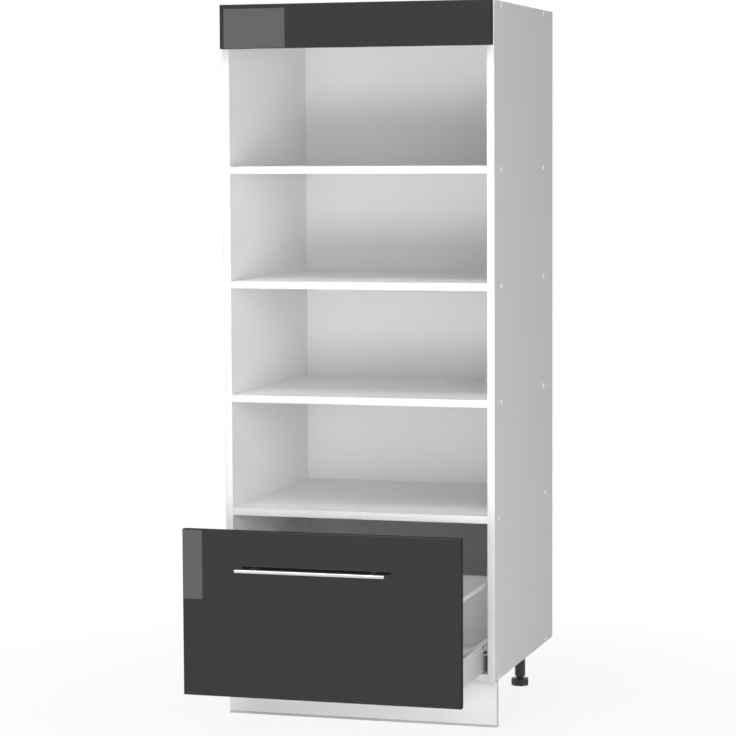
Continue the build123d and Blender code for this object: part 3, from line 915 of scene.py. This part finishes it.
@dataclass(frozen=True)
class GlossFront(Finish):
    """Dark high-gloss foil on a board, with matt bands on its edges and a white backing behind."""

    colour: Colour = (0.0080, 0.0080, 0.0083)
    band: Colour = (0.020, 0.020, 0.0205)
    backing: Colour = (0.74, 0.74, 0.745)
    cloud_size: float = 0.12
    pearl_size: float = 0.0013
    wipe_size: Point = (0.09, 0.09, 0.03)
    line_size: Point = (0.02, 0.0007, 0.02)
    wave_size: float = 0.011
    relief: float = 0.000012
    band_relief: float = 0.00001

    def shader(self, graph: Graph) -> Value:
        """The foil with its faint waviness, the edge bands, and the backing towards the cabinet.

        Args:
            graph: The material's nodes.

        Returns:
            The shader.
        """
        foil = graph.mottle(graph.noise(self.cloud_size), self.colour, 0.94, 1.06)
        pearl = graph.noise(self.pearl_size, 2.0, 0.6)
        rear = graph.facing(Axis.Y) > 0.5
        backing = graph.blend(pearl * 0.3, self.backing, shade(self.backing, 0.97))
        wipe = graph.noise(self.wipe_size, 3.0, 0.6)
        roughness = 0.006 + 0.012 * wipe + rear * (0.42 + 0.05 * pearl)
        waves = graph.noise(self.wave_size, 1.0, 0.4)
        normal = graph.bump(waves * 0.3 + pearl * (rear * 3.0), self.relief)
        faces = graph.principled(graph.blend(rear, foil, backing), roughness, normal)
        lines = graph.noise(self.line_size, 2.0, 0.6)
        matt = graph.blend(lines, shade(self.band, 0.85), shade(self.band, 1.15))
        ridges = graph.bump(lines, self.band_relief)
        band = graph.principled(matt, 0.5 + 0.1 * lines, ridges, Specular_IOR_Level=0.02)
        across = graph.math("MAXIMUM", abs(graph.facing(Axis.X)), abs(graph.facing(Axis.Z)))
        return graph.node("ShaderNodeMixShader", None, {0: across > 0.7, 1: faces, 2: band})


@dataclass(frozen=True)
class EdgeBand(Finish):
    """A smooth white plastic band glued to the front edges of the boards."""

    colour: Colour = (0.82, 0.82, 0.822)
    cloud_size: float = 0.16
    line_size: Point = (0.012, 0.0006, 0.012)
    relief: float = 0.00001

    def shader(self, graph: Graph) -> Value:
        """The band with the faint draw lines that run along it.

        Args:
            graph: The material's nodes.

        Returns:
            The shader.
        """
        colour = graph.mottle(graph.noise(self.cloud_size), self.colour, 0.99, 1.0)
        lines = graph.noise(self.line_size, 2.0, 0.6)
        return graph.principled(colour, 0.3 + 0.06 * lines, graph.bump(lines, self.relief))


@dataclass(frozen=True)
class PowderCoat(Finish):
    """Powder coat on bent steel, with its fine orange peel."""

    colour: Colour = (0.78, 0.78, 0.775)
    cloud_size: float = 0.08
    sheen_size: float = 0.02
    peel_size: float = 0.0016
    relief: float = 0.00003

    def shader(self, graph: Graph) -> Value:
        """The coat, its peel and its slightly uneven sheen.

        Args:
            graph: The material's nodes.

        Returns:
            The shader.
        """
        colour = graph.mottle(graph.noise(self.cloud_size), self.colour, 0.985, 1.01)
        sheen = 0.33 + 0.06 * graph.noise(self.sheen_size, 3.0)
        peel = graph.bump(graph.noise(self.peel_size), self.relief)
        return graph.principled(colour, sheen, peel, Coat_Weight=0.15)


@dataclass(frozen=True)
class ZincSteel(Finish):
    """Bright zinc plating on brackets and screws."""

    colour: Colour = (0.60, 0.61, 0.62)
    grain_size: float = 0.0042
    mark_size: Point = (0.0009, 0.006, 0.0009)
    relief: float = 0.00002

    def shader(self, graph: Graph) -> Value:
        """The plating with its clouded grains and fine rubbing marks.

        Args:
            graph: The material's nodes.

        Returns:
            The shader.
        """
        grey = graph.node("ShaderNodeRGBToBW", None, {"Color": graph.cells(self.grain_size, "Color")})
        colour = graph.mottle(grey, self.colour, 0.86, 1.12, 0.1)
        marks = graph.noise(self.mark_size, 3.0, 0.6)
        roughness = 0.3 + 0.12 * grey + 0.08 * marks
        return graph.principled(colour, roughness, graph.bump(marks, self.relief), Metallic=1.0)


@dataclass(frozen=True)
class BrushedSteel(Finish):
    """Steel brushed along one axis, as on the handle."""

    colour: Colour = (0.70, 0.70, 0.69)
    stroke: Point = (0.045, 0.00045, 0.00045)
    relief: float = 0.00001

    def shader(self, graph: Graph) -> Value:
        """The steel with its long fine brush lines.

        Args:
            graph: The material's nodes.

        Returns:
            The shader.
        """
        lines = graph.noise(self.stroke, 3.0, 0.65)
        broad = graph.noise(tuple(4 * step for step in self.stroke))
        colour = graph.mottle(lines, self.colour, 0.93, 1.06, 0.25)
        roughness = 0.2 + 0.1 * lines + 0.06 * broad
        return graph.principled(colour, roughness, graph.bump(lines, self.relief), Metallic=1.0)


@dataclass(frozen=True)
class MouldedPlastic(Finish):
    """Moulded plastic with a finely eroded surface."""

    colour: Colour
    roughness: float = 0.4
    grain: float = 0.0007
    depth: float = 0.00003
    polish: float = 0.0
    flow_size: float = 0.018

    def shader(self, graph: Graph) -> Value:
        """The plastic with its flow marks and the grain of its mould.

        Args:
            graph: The material's nodes.

        Returns:
            The shader.
        """
        flow = graph.noise(self.flow_size, 3.0, 0.6)
        grain = graph.noise(self.grain, 2.0, 0.6)
        colour = graph.mottle(flow, self.colour, 0.94, 1.05)
        roughness = self.roughness - 0.08 + 0.1 * grain + 0.06 * flow
        coat = {"Coat_Weight": self.polish, "Coat_Roughness": 0.04, "Coat_IOR": 1.7}
        return graph.principled(colour, roughness, graph.bump(grain, self.depth), **coat)


@dataclass(frozen=True)
class ClearBumper(Finish):
    """Clear soft plastic of the small pads behind the drawer front."""

    colour: Colour = (0.86, 0.87, 0.86)
    cloud_size: float = 0.003
    grain_size: float = 0.0008
    relief: float = 0.00001

    def shader(self, graph: Graph) -> Value:
        """The cloudy clear plastic.

        Args:
            graph: The material's nodes.

        Returns:
            The shader.
        """
        cloud = graph.noise(self.cloud_size)
        colour = graph.blend(cloud, shade(self.colour, 0.95), self.colour)
        normal = graph.bump(graph.noise(self.grain_size), self.relief)
        return graph.principled(colour, 0.14 + 0.1 * cloud, normal, Transmission_Weight=0.7, IOR=1.45)


@dataclass
class Assembly:
    """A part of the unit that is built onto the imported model."""

    frame: Frame

    def dress(self, finish: Finish, *names: str) -> None:
        """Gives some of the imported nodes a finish.

        Args:
            finish: The finish that takes the place of their plain one.
            names: The nodes.
        """
        material = finish.material()
        for node in (self.frame.nodes[name] for name in names):
            if not node.material_slots:
                node.data.materials.append(material)
            for slot in node.material_slots:
                slot.material = material
            log.info("dressed %s in %s", node.name, finish.name)

    def settle_pair(self, right: Shape, node: str, slot: str, finish: Finish) -> None:
        """Ends a right piece and its mirror image, which stand for the two nodes of a pair.

        Args:
            right: The right piece.
            node: The name of the two nodes without their side.
            slot: The record's slot for their finish.
            finish: The finish.
        """
        left = right.mirrored(right.piece.name.replace("_right", "_left"))
        left.settle(f"{node}_left", slot, finish, self.frame)
        right.settle(f"{node}_right", slot, finish, self.frame)


@dataclass
class Carcass(Assembly):
    """The white boards, their bands, screws and caps."""

    shelves: Tuple[str, ...] = ("drawer_bay_shelf", "shelf_lower", "shelf_middle", "shelf_upper")
    top_middle: float = 1.528
    floor_middle: float = 0.108
    inner_half: float = 0.284
    band_ease: float = 0.0003

    def build(self) -> None:
        """Makes the bands and dresses the boards."""
        side = Melamine("white_melamine_upright", RawEdge.REAR_AND_FOOT)
        self.dress(side, "side_panel_left", "side_panel_right")
        self.dress(Melamine("white_melamine_top", RawEdge.REAR, Axis.Z, self.top_middle), "top_panel")
        self.dress(Melamine("white_melamine_floor", RawEdge.REAR, Axis.Z, self.floor_middle), "bottom_panel")
        self.dress(Melamine("white_melamine_shelf"), *self.shelves)
        self.dress(BackBoard("lacquered_back_board"), "back_panel")
        self.dress(ZincSteel("zinc_carcass_screw"), "carcass_screws")
        caps = MouldedPlastic("white_cap_plastic", (0.93, 0.93, 0.925), 0.16, depth=0.00001, polish=1.0)
        self.dress(caps, "screw_caps")
        self.bands().settle("front_edge_bands", "white_edge", EdgeBand("white_edge_band"), self.frame)

    def bands(self) -> Shape:
        """The bands on the front edges, each with its front edges scraped round.

        Returns:
            The bands as one piece.
        """
        low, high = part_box("front_edge_bands")
        spans = [(-high.x, -self.inner_half, low.z, high.z), (self.inner_half, high.x, low.z, high.z)]
        for board in ("bottom_panel", *self.shelves, "top_panel"):
            below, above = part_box(board)
            spans.append((-self.inner_half, self.inner_half, below.z, above.z))
        made = []
        for left, right, foot, head in spans:
            band = Shape.block("scraped_edge_bands", (left, low.y, foot), (right, high.y, head))
            band.pick(Pick.EDGES, lambda place, way: near(place, (None, low.y, None)))
            made.append(band.bevel(self.band_ease, 2))
        return made[0].join(*made[1:])


@dataclass
class Brackets(Assembly):
    """The fascia, the angles behind it and the angles for the wall."""

    fascia_sheet: float = 0.0015
    fascia_path: Tuple[Pair, ...] = ((0.242, -0.127), (0.284, -0.127), (0.284, -0.091))
    fascia_span: Pair = (1.466, 1.512)
    fascia_bend: float = 0.0022
    fascia_ease: float = 0.00015
    wall_sheet: float = 0.002
    wall_leg: float = 0.040
    wall_corner: Pair = (0.415, 1.520)
    wall_span: Pair = (0.182, 0.218)
    wall_bend: float = 0.003
    wall_ease: float = 0.0002
    wall_hole: Pair = (0.200, 1.495)
    wall_hole_radius: float = 0.003

    def build(self) -> None:
        """Bends the angles, sets their screws and dresses the fascia."""
        self.dress(GlossFront("dark_gloss_fascia"), "fascia_panel")
        steel = ZincSteel("zinc_bracket")
        fascia = self.fascia_angle(Screw().replace("fascia_screws", steel, self.frame))
        self.settle_pair(fascia, "fascia_bracket", "zinc_steel", steel)
        wall = self.wall_angle(Screw().replace("wall_bracket_screws", steel, self.frame))
        self.settle_pair(wall, "wall_bracket", "zinc_steel", steel)

    def fascia_angle(self, seats: Sequence[Seat]) -> Shape:
        """The right angle between the side panel and the fascia, drilled for its screws.

        Args:
            seats: The seats of the screws that hold it.

        Returns:
            The angle.
        """
        angle = Shape.upright_sheet("bent_fascia_angle_right", self.fascia_path, self.fascia_span)
        angle.pick(Pick.EDGES, runs_through(self.fascia_path[1:2], Axis.Z)).bevel(self.fascia_bend, 5)
        return angle.thicken(self.fascia_sheet, self.fascia_ease).drill(seats)

    def wall_angle(self, seats: Sequence[Seat]) -> Shape:
        """The right angle under the top panel, drilled for its screws and the wall screw.

        Args:
            seats: The seats of the screws that hold it.

        Returns:
            The angle.
        """
        rear, top = self.wall_corner
        path = [(-rear + self.wall_leg, top), (-rear, top), (-rear, top - self.wall_leg)]
        angle = Shape.sheet("bent_wall_angle_right", path, self.wall_span)
        angle.pick(Pick.EDGES, runs_through(path[1:2], Axis.Y)).bevel(self.wall_bend, 5)
        angle.swing((0.0, 0.0, -QUARTER_TURN)).thicken(self.wall_sheet, self.wall_ease)
        x, z = self.wall_hole
        mouth = (x, rear - 2 * self.wall_sheet, z)
        angle.cut(Shape.bar("hole", self.wall_hole_radius, mouth, 4 * self.wall_sheet, Axis.Y))
        return angle.drill(seats)


@dataclass
class Base(Assembly):
    """The legs with their feet, and the plinth with its clips and seal."""

    corners: Tuple[str, ...] = ("front_left", "front_right", "rear_left", "rear_right")
    plinth_ease: float = 0.0004

    def build(self) -> None:
        """Makes the plinth and the screws, and dresses the legs."""
        black = MouldedPlastic("black_leg_plastic", (0.030, 0.030, 0.031), 0.42, 0.0009, 0.00005)
        legs = [f"{piece}_{corner}" for piece in ("leg", "foot") for corner in self.corners]
        self.dress(black, *legs, "plinth_clip_left", "plinth_clip_right")
        for screws in ("leg_screws", "plinth_clip_screws"):
            Screw().replace(screws, ZincSteel("zinc_base_screw"), self.frame)
        panel = Shape.block("eased_plinth_panel", *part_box("plinth_panel")).ease(self.plinth_ease)
        panel.settle("plinth_panel", "white_board", Melamine("white_melamine_plinth"), self.frame)
        self.dress(MouldedPlastic("grey_seal_strip", (0.52, 0.52, 0.52), 0.5), "plinth_seal")


@dataclass
class Runners(Assembly):
    """The steel channels on the side panels and their rollers."""

    steel: float = 0.0012
    bend: float = 0.0016
    foot_edge: float = 0.275
    roof_edge: float = 0.277
    panel_face: float = 0.284
    bottom: float = 0.1565
    top: float = 0.1835
    span: Pair = (-0.122, 0.378)
    roof_start: float = -0.083
    axle: Pair = (-0.105, 0.1737)
    axle_hole: float = 0.00255

    def build(self) -> None:
        """Bends the channels, sets their screws and turns the rollers."""
        steel = ZincSteel("zinc_runner")
        self.dress(steel, "runner_axles")
        channel = self.channel(Screw().replace("runner_screws", steel, self.frame))
        self.settle_pair(channel, "cabinet_runner", "white_steel", PowderCoat("white_runner_coat"))
        nylon = MouldedPlastic("roller_nylon", (0.66, 0.65, 0.61), 0.38)
        for body in ("runner", "drawer"):
            roller = Roller().model(f"{body}_roller_right", f"dished_{body}_roller_right")
            self.settle_pair(roller, f"{body}_roller", "roller_plastic", nylon)

    def channel(self, seats: Sequence[Seat]) -> Shape:
        """The right channel, open at its front above the roller and closed at its rear.

        Args:
            seats: The seats of the screws that hold it.

        Returns:
            The channel.
        """
        corners = [(self.panel_face, self.bottom), (self.panel_face, self.top)]
        path = [(self.foot_edge, self.bottom), *corners, (self.roof_edge, self.top)]
        channel = Shape.sheet("bent_runner_right", path, self.span)
        channel.pick(Pick.EDGES, runs_through(corners, Axis.Y)).bevel(self.bend, 4)
        channel.thicken(self.steel)
        web, roof = self.panel_face - self.steel, self.top - self.steel
        over, inside = 0.01, 0.001
        low = (self.foot_edge, self.span[0] - over, roof)
        channel.cut(Shape.block("opening", low, (web, self.roof_start, self.top + over)))
        start = (web - inside, *self.axle)
        channel.cut(Shape.bar("hole", self.axle_hole, start, 3 * self.steel, Axis.X)).drill(seats)
        low = (self.roof_edge, self.span[1] - self.steel, self.bottom + self.steel)
        return channel.join(Shape.block("rear_stop", low, (web, self.span[1], roof)))


@dataclass(frozen=True)
class Roller:
    """A nylon roller with dished faces round its hub."""

    rim: float = 0.002
    slope: float = 0.0006
    dish_depth: float = 0.0012
    dish: float = 0.0032
    hub_rise: float = 0.0010
    bore: float = 0.0026
    tread_ease: float = 0.0005
    sides: int = 64

    def model(self, node: str, name: str) -> Shape:
        """Turns the roller that stands for a packed one.

        Args:
            node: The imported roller.
            name: The name of the new one.

        Returns:
            The roller.
        """
        low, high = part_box(node)
        middle = (low + high) / 2
        radius = (high.z - low.z) / 2
        start = (low.x, middle.y, middle.z)
        roller = Shape.bar(name, radius, start, high.x - low.x, Axis.X, self.sides)
        roller.pick(Pick.FACES, lambda place, way: abs(way.x) > ALONG)
        roller.inset(self.rim).inset(self.slope, -self.dish_depth).inset(self.dish)
        roller.inset(self.slope, self.hub_rise)
        roller.inset(radius - self.rim - 2 * self.slope - self.dish - self.bore)
        bpy.ops.mesh.bridge_edge_loops()
        return roller.ease(self.tread_ease)


@dataclass
class Drawer(Assembly):
    """The drawer's box, its rails and its front."""

    steel: float = 0.0012
    wall: float = 0.2715
    foot_width: float = 0.020
    bottom: float = 0.118
    flange: float = 0.1858
    lip: float = 0.2818
    lip_end: float = 0.1846
    span: Pair = (-0.388, 0.112)
    bead_middle: float = 0.1655
    bead_height: float = 0.009
    bead_depth: float = 0.0018
    bead_bend: float = 0.0005
    fold_bend: float = 0.0008
    skirt: float = 0.2800
    skirt_top: float = 0.1515
    skirt_root: float = 0.1545
    skirt_bend: float = 0.0014
    axle: Pair = (0.096, 0.1701)
    axle_hole: float = 0.00255
    angle_path: Tuple[Pair, ...] = ((0.2443, -0.388), (0.2703, -0.388), (0.2703, -0.348))
    angle_span: Pair = (0.1382, 0.1822)
    bracket_path: Tuple[Pair, ...] = ((0.2703, 0.082), (0.2703, 0.1112), (0.225, 0.1112))
    bracket_span: Pair = (0.1352, 0.308)
    angle_bend: float = 0.0018
    board_ease: float = 0.0003

    def build(self) -> None:
        """Bends the steel pieces, sets the screws and dresses the boards, rails and front."""
        zinc = ZincSteel("zinc_drawer")
        self.dress(zinc, "drawer_axles")
        seats = Screw().replace("drawer_screws", zinc, self.frame)
        coat = PowderCoat("white_drawer_coat")
        pairs = {
            "drawer_side": self.side(seats),
            "front_angle": self.front_angle(seats),
            "back_bracket": self.back_bracket(seats),
        }
        for node, right in pairs.items():
            self.settle_pair(right, node, "white_steel", coat)
        self.dress(PowderCoat("white_rail_coat", (0.90, 0.90, 0.895)), "railing_left", "railing_right")
        self.dress(MouldedPlastic("white_holder_plastic", (0.80, 0.80, 0.80), 0.38), "railing_holders")
        board = Melamine("white_melamine_drawer")
        self.dress(board, "drawer_bottom")
        back = Shape.block("eased_drawer_back", *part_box("drawer_back")).ease(self.board_ease)
        back.settle("drawer_back", "white_board", board, self.frame)
        self.dress(GlossFront("dark_gloss_drawer"), "drawer_front")
        self.dress(ClearBumper("clear_soft_plastic"), "drawer_bumpers")

    def side(self, seats: Sequence[Seat]) -> Shape:
        """The right side: one bent sheet with a foot, a bead and a running flange, and its hollow skirt.

        Args:
            seats: The seats of the drawer's screws.

        Returns:
            The side.
        """
        half = self.bead_height / 2
        steps = ((-half, 0.0), (-half / 2, self.bead_depth), (half / 2, self.bead_depth), (half, 0.0))
        bead = [(self.wall + out, self.bead_middle + up) for up, out in steps]
        folds = [(self.wall, self.bottom), (self.wall, self.flange)]
        shoulder = (self.lip, self.flange)
        path = [(self.wall - self.foot_width, self.bottom), folds[0], *bead, folds[1], shoulder]
        side = Shape.sheet("bent_drawer_side_right", [*path, (self.lip, self.lip_end)], self.span)
        side.pick(Pick.EDGES, runs_through([*bead, shoulder], Axis.Y)).bevel(self.bead_bend, 2)
        side.pick(Pick.EDGES, runs_through(folds, Axis.Y)).bevel(self.fold_bend, 4)
        side.thicken(self.steel)
        edges = [(self.skirt, self.bottom), (self.skirt, self.skirt_top)]
        root = self.wall - self.steel / 2
        skirt = Shape.sheet("skirt", [(root, self.bottom), *edges, (root, self.skirt_root)], self.span)
        skirt.pick(Pick.EDGES, runs_through(edges, Axis.Y)).bevel(self.skirt_bend, 4)
        side.join(skirt.thicken(self.steel))
        start = (self.wall - 2 * self.steel, *self.axle)
        return side.cut(Shape.bar("hole", self.axle_hole, start, 3 * self.steel, Axis.X)).drill(seats)

    def front_angle(self, seats: Sequence[Seat]) -> Shape:
        """The right angle between the side and the drawer front, drilled for its screws.

        Args:
            seats: The seats of the drawer's screws.

        Returns:
            The angle.
        """
        angle = Shape.upright_sheet("bent_front_angle_right", self.angle_path, self.angle_span)
        angle.pick(Pick.EDGES, runs_through(self.angle_path[1:2], Axis.Z)).bevel(self.angle_bend, 4)
        return angle.thicken(self.steel).drill(seats)

    def back_bracket(self, seats: Sequence[Seat]) -> Shape:
        """The right bracket between the side and the drawer's back, its leg no higher than the side.

        Args:
            seats: The seats of the drawer's screws.

        Returns:
            The bracket.
        """
        bracket = Shape.upright_sheet("bent_back_bracket_right", self.bracket_path, self.bracket_span)
        bracket.pick(Pick.EDGES, runs_through(self.bracket_path[1:2], Axis.Z)).bevel(self.angle_bend, 4)
        plate = self.bracket_path[1][1] - self.steel
        over = 0.01
        low = (self.wall - 2 * over, plate - 5 * over, self.flange)
        high = (self.wall + over, plate, self.bracket_span[1] + over)
        return bracket.thicken(self.steel).cut(Shape.block("offcut", low, high)).drill(seats)


@dataclass
class Handle(Assembly):
    """The slim bar of the drawer and its posts."""

    screw: Screw = Screw(
        head_radius=0.0044, head_height=0.0026, shank_radius=0.002, recess_length=0.0044, recess_width=0.0009
    )

    def build(self) -> None:
        """Sets the screws and dresses the bar and the posts."""
        self.dress(BrushedSteel("brushed_handle_bar"), "handle_bar")
        self.dress(BrushedSteel("brushed_handle_post", stroke=(0.0005, 0.012, 0.0005)), "handle_posts")
        self.screw.replace("handle_screws", ZincSteel("zinc_handle_screw"), self.frame)


class LampUse(Enum):
    """What a lamp lights."""

    EVERYTHING = 0
    MATT_SURFACES = 1
    MIRRORS = 2


@dataclass(frozen=True)
class Softbox:
    """A rectangular studio lamp."""

    name: str
    place: Point
    power: float
    aim: Point = (0.0, 0.0, 0.77)
    width: float = 1.9
    height: float = 1.9
    use: LampUse = LampUse.MATT_SURFACES

    def build(self) -> None:
        """Hangs the lamp and turns it to its aim."""
        data = bpy.data.lights.new(self.name, "AREA")
        data.shape = "RECTANGLE"
        data.size = self.width
        data.size_y = self.height
        data.energy = self.power
        lamp = bpy.data.objects.new(self.name, data)
        bpy.context.scene.collection.objects.link(lamp)
        lamp.location = self.place
        way = Vector(self.aim) - Vector(self.place)
        lamp.rotation_euler = way.to_track_quat("-Z", "Y").to_euler()
        lamp.visible_camera = False
        lamp.visible_diffuse = self.use is not LampUse.MIRRORS
        lamp.visible_transmission = self.use is not LampUse.MIRRORS
        lamp.visible_glossy = self.use is not LampUse.MATT_SURFACES


@dataclass
class Studio:
    """The pale floor, the white surroundings, the soft lamps, and the cards that the fronts mirror."""

    reach: float = 60.0
    drop: float = 0.0003
    floor_grey: float = 0.80
    floor_white_near: float = 0.88
    white_from: float = 0.35
    white_to: float = 1.3
    lamps: Tuple[Softbox, ...] = (
        Softbox("front_left_panel", (-1.943, -4.167, 1.0), 3.0),
        Softbox("front_right_panel", (1.943, -4.167, 1.0), 19.0),
        Softbox("right_panel", (3.522, -2.955, 1.0), 50.0),
        Softbox("low_panel", (0.0, -3.4, 0.32), 31.5, (0.0, 0.0, 0.6), 1.6, 0.56),
        Softbox("inner_wall_strip", (0.26, -1.5, 0.95), 5.8, (-0.28, 0.1, 0.95), 0.12, 1.1),
        Softbox("raised_panel", (1.7165, -3.681, 2.93), 31.0),
        Softbox("high_panel", (-0.753, -2.318, 4.671), 84.0, use=LampUse.EVERYTHING),
        Softbox("rear_panel", (-0.9, 4.6, 1.6), 64.0),
        Softbox("left_panel", (-4.5, 0.9, 1.4), 58.0),
    )
    cards: Tuple[Softbox, ...] = (
        Softbox(
            "fascia_card", (-0.6495, -1.404, 1.5275), 0.160, (-0.6495, 0.0, 1.5275),
            width=0.168, height=0.135, use=LampUse.MIRRORS,
        ),
        Softbox(
            "drawer_card", (-0.7684, -1.404, 0.3221), 0.79, (-0.7684, 0.0, 0.3221),
            width=0.30, height=0.40, use=LampUse.MIRRORS,
        ),
    )

    def build(self) -> None:
        """Lays the floor, whitens the surroundings and hangs the lamps."""
        self.build_floor()
        self.build_world()
        for lamp in (*self.lamps, *self.cards):
            lamp.build()

    @staticmethod
    def seen(graph: Graph) -> Value:
        """One for the rays that see the surroundings: from the camera, in a mirror or through glass.

        Args:
            graph: The nodes that the value is for.

        Returns:
            The value.
        """
        kinds = ("Camera", "Glossy", "Transmission")
        rays = [graph.node("ShaderNodeLightPath", output=f"Is {kind} Ray") for kind in kinds]
        return graph.math("MINIMUM", rays[0] + rays[1] + rays[2], 1.0)

    def build_floor(self) -> None:
        """Lays a wide pale floor that keeps the unit's shadow and whitens with distance."""
        bpy.ops.mesh.primitive_plane_add(size=self.reach, location=(0.0, 0.0, -self.drop))
        floor = bpy.context.object
        floor.name = "studio_floor"
        graph = Graph(bpy.data.materials.new("studio_floor_white"))
        matt = graph.node("ShaderNodeBsdfDiffuse", None, {"Color": (self.floor_grey,) * 3 + (1.0,)}, 0)
        white = graph.node("ShaderNodeEmission", None, {"Color": (1.0, 1.0, 1.0, 1.0), "Strength": 1.0}, 0)
        distance = graph.node("ShaderNodeVectorMath", {"operation": "LENGTH"}, {0: graph.place()}, "Value")
        far = graph.spread(distance, self.white_from, self.white_to)
        share = self.floor_white_near + (1.0 - self.floor_white_near) * far
        graph.end(graph.node("ShaderNodeMixShader", None, {0: share * self.seen(graph), 1: matt, 2: white}))
        floor.data.materials.append(graph.owner)

    def build_world(self) -> None:
        """Makes the surroundings white to the eye, and without any light of their own."""
        world = bpy.data.worlds.new("studio_white")
        bpy.context.scene.world = world
        graph = Graph(world)
        dark, white = (
            graph.node("ShaderNodeBackground", None, {"Color": (1.0, 1.0, 1.0, 1.0), "Strength": strength})
            for strength in (0.0, 1.0)
        )
        graph.end(graph.node("ShaderNodeMixShader", None, {0: self.seen(graph), 1: dark, 2: white}))


@dataclass
class PhotoCamera:
    """The camera at the photograph's viewing angle."""

    place: Point = (1.6423, -5.6228, 1.2313)
    turn_deg: Point = (85.3348, 0.2954, 16.3867)
    lens: float = 132.185
    sensor: float = 36.0
    clip: Pair = (0.05, 200.0)

    def build(self) -> None:
        """Sets the camera up and makes it the scene's own."""
        data = bpy.data.cameras.new("photo_camera")
        data.lens = self.lens
        data.sensor_width = self.sensor
        data.clip_start, data.clip_end = self.clip
        camera = bpy.data.objects.new("photo_camera", data)
        bpy.context.scene.collection.objects.link(camera)
        camera.location = self.place
        camera.rotation_euler = Euler([math.radians(angle) for angle in self.turn_deg], "XYZ")
        bpy.context.scene.camera = camera


def main() -> None:
    """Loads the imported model, dresses it and sets up the studio and the camera."""
    logging.basicConfig(level=logging.INFO, format="%(name)s: %(message)s")
    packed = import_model()
    bpy.ops.object.select_all(action="DESELECT")
    members = packed["record"]["behaviour"]["bodies"]
    bodies = {node: body for body, nodes in members.items() for node in nodes}
    frame = Frame(packed["nodes"], bodies)
    for assembly in (Carcass, Brackets, Base, Runners, Drawer, Handle):
        assembly(frame).build()
        log.info("built %s", assembly.__name__)
    Studio().build()
    PhotoCamera().build()
    bpy.context.scene.view_settings.view_transform = "Standard"


if __name__ == "__main__":
    main()
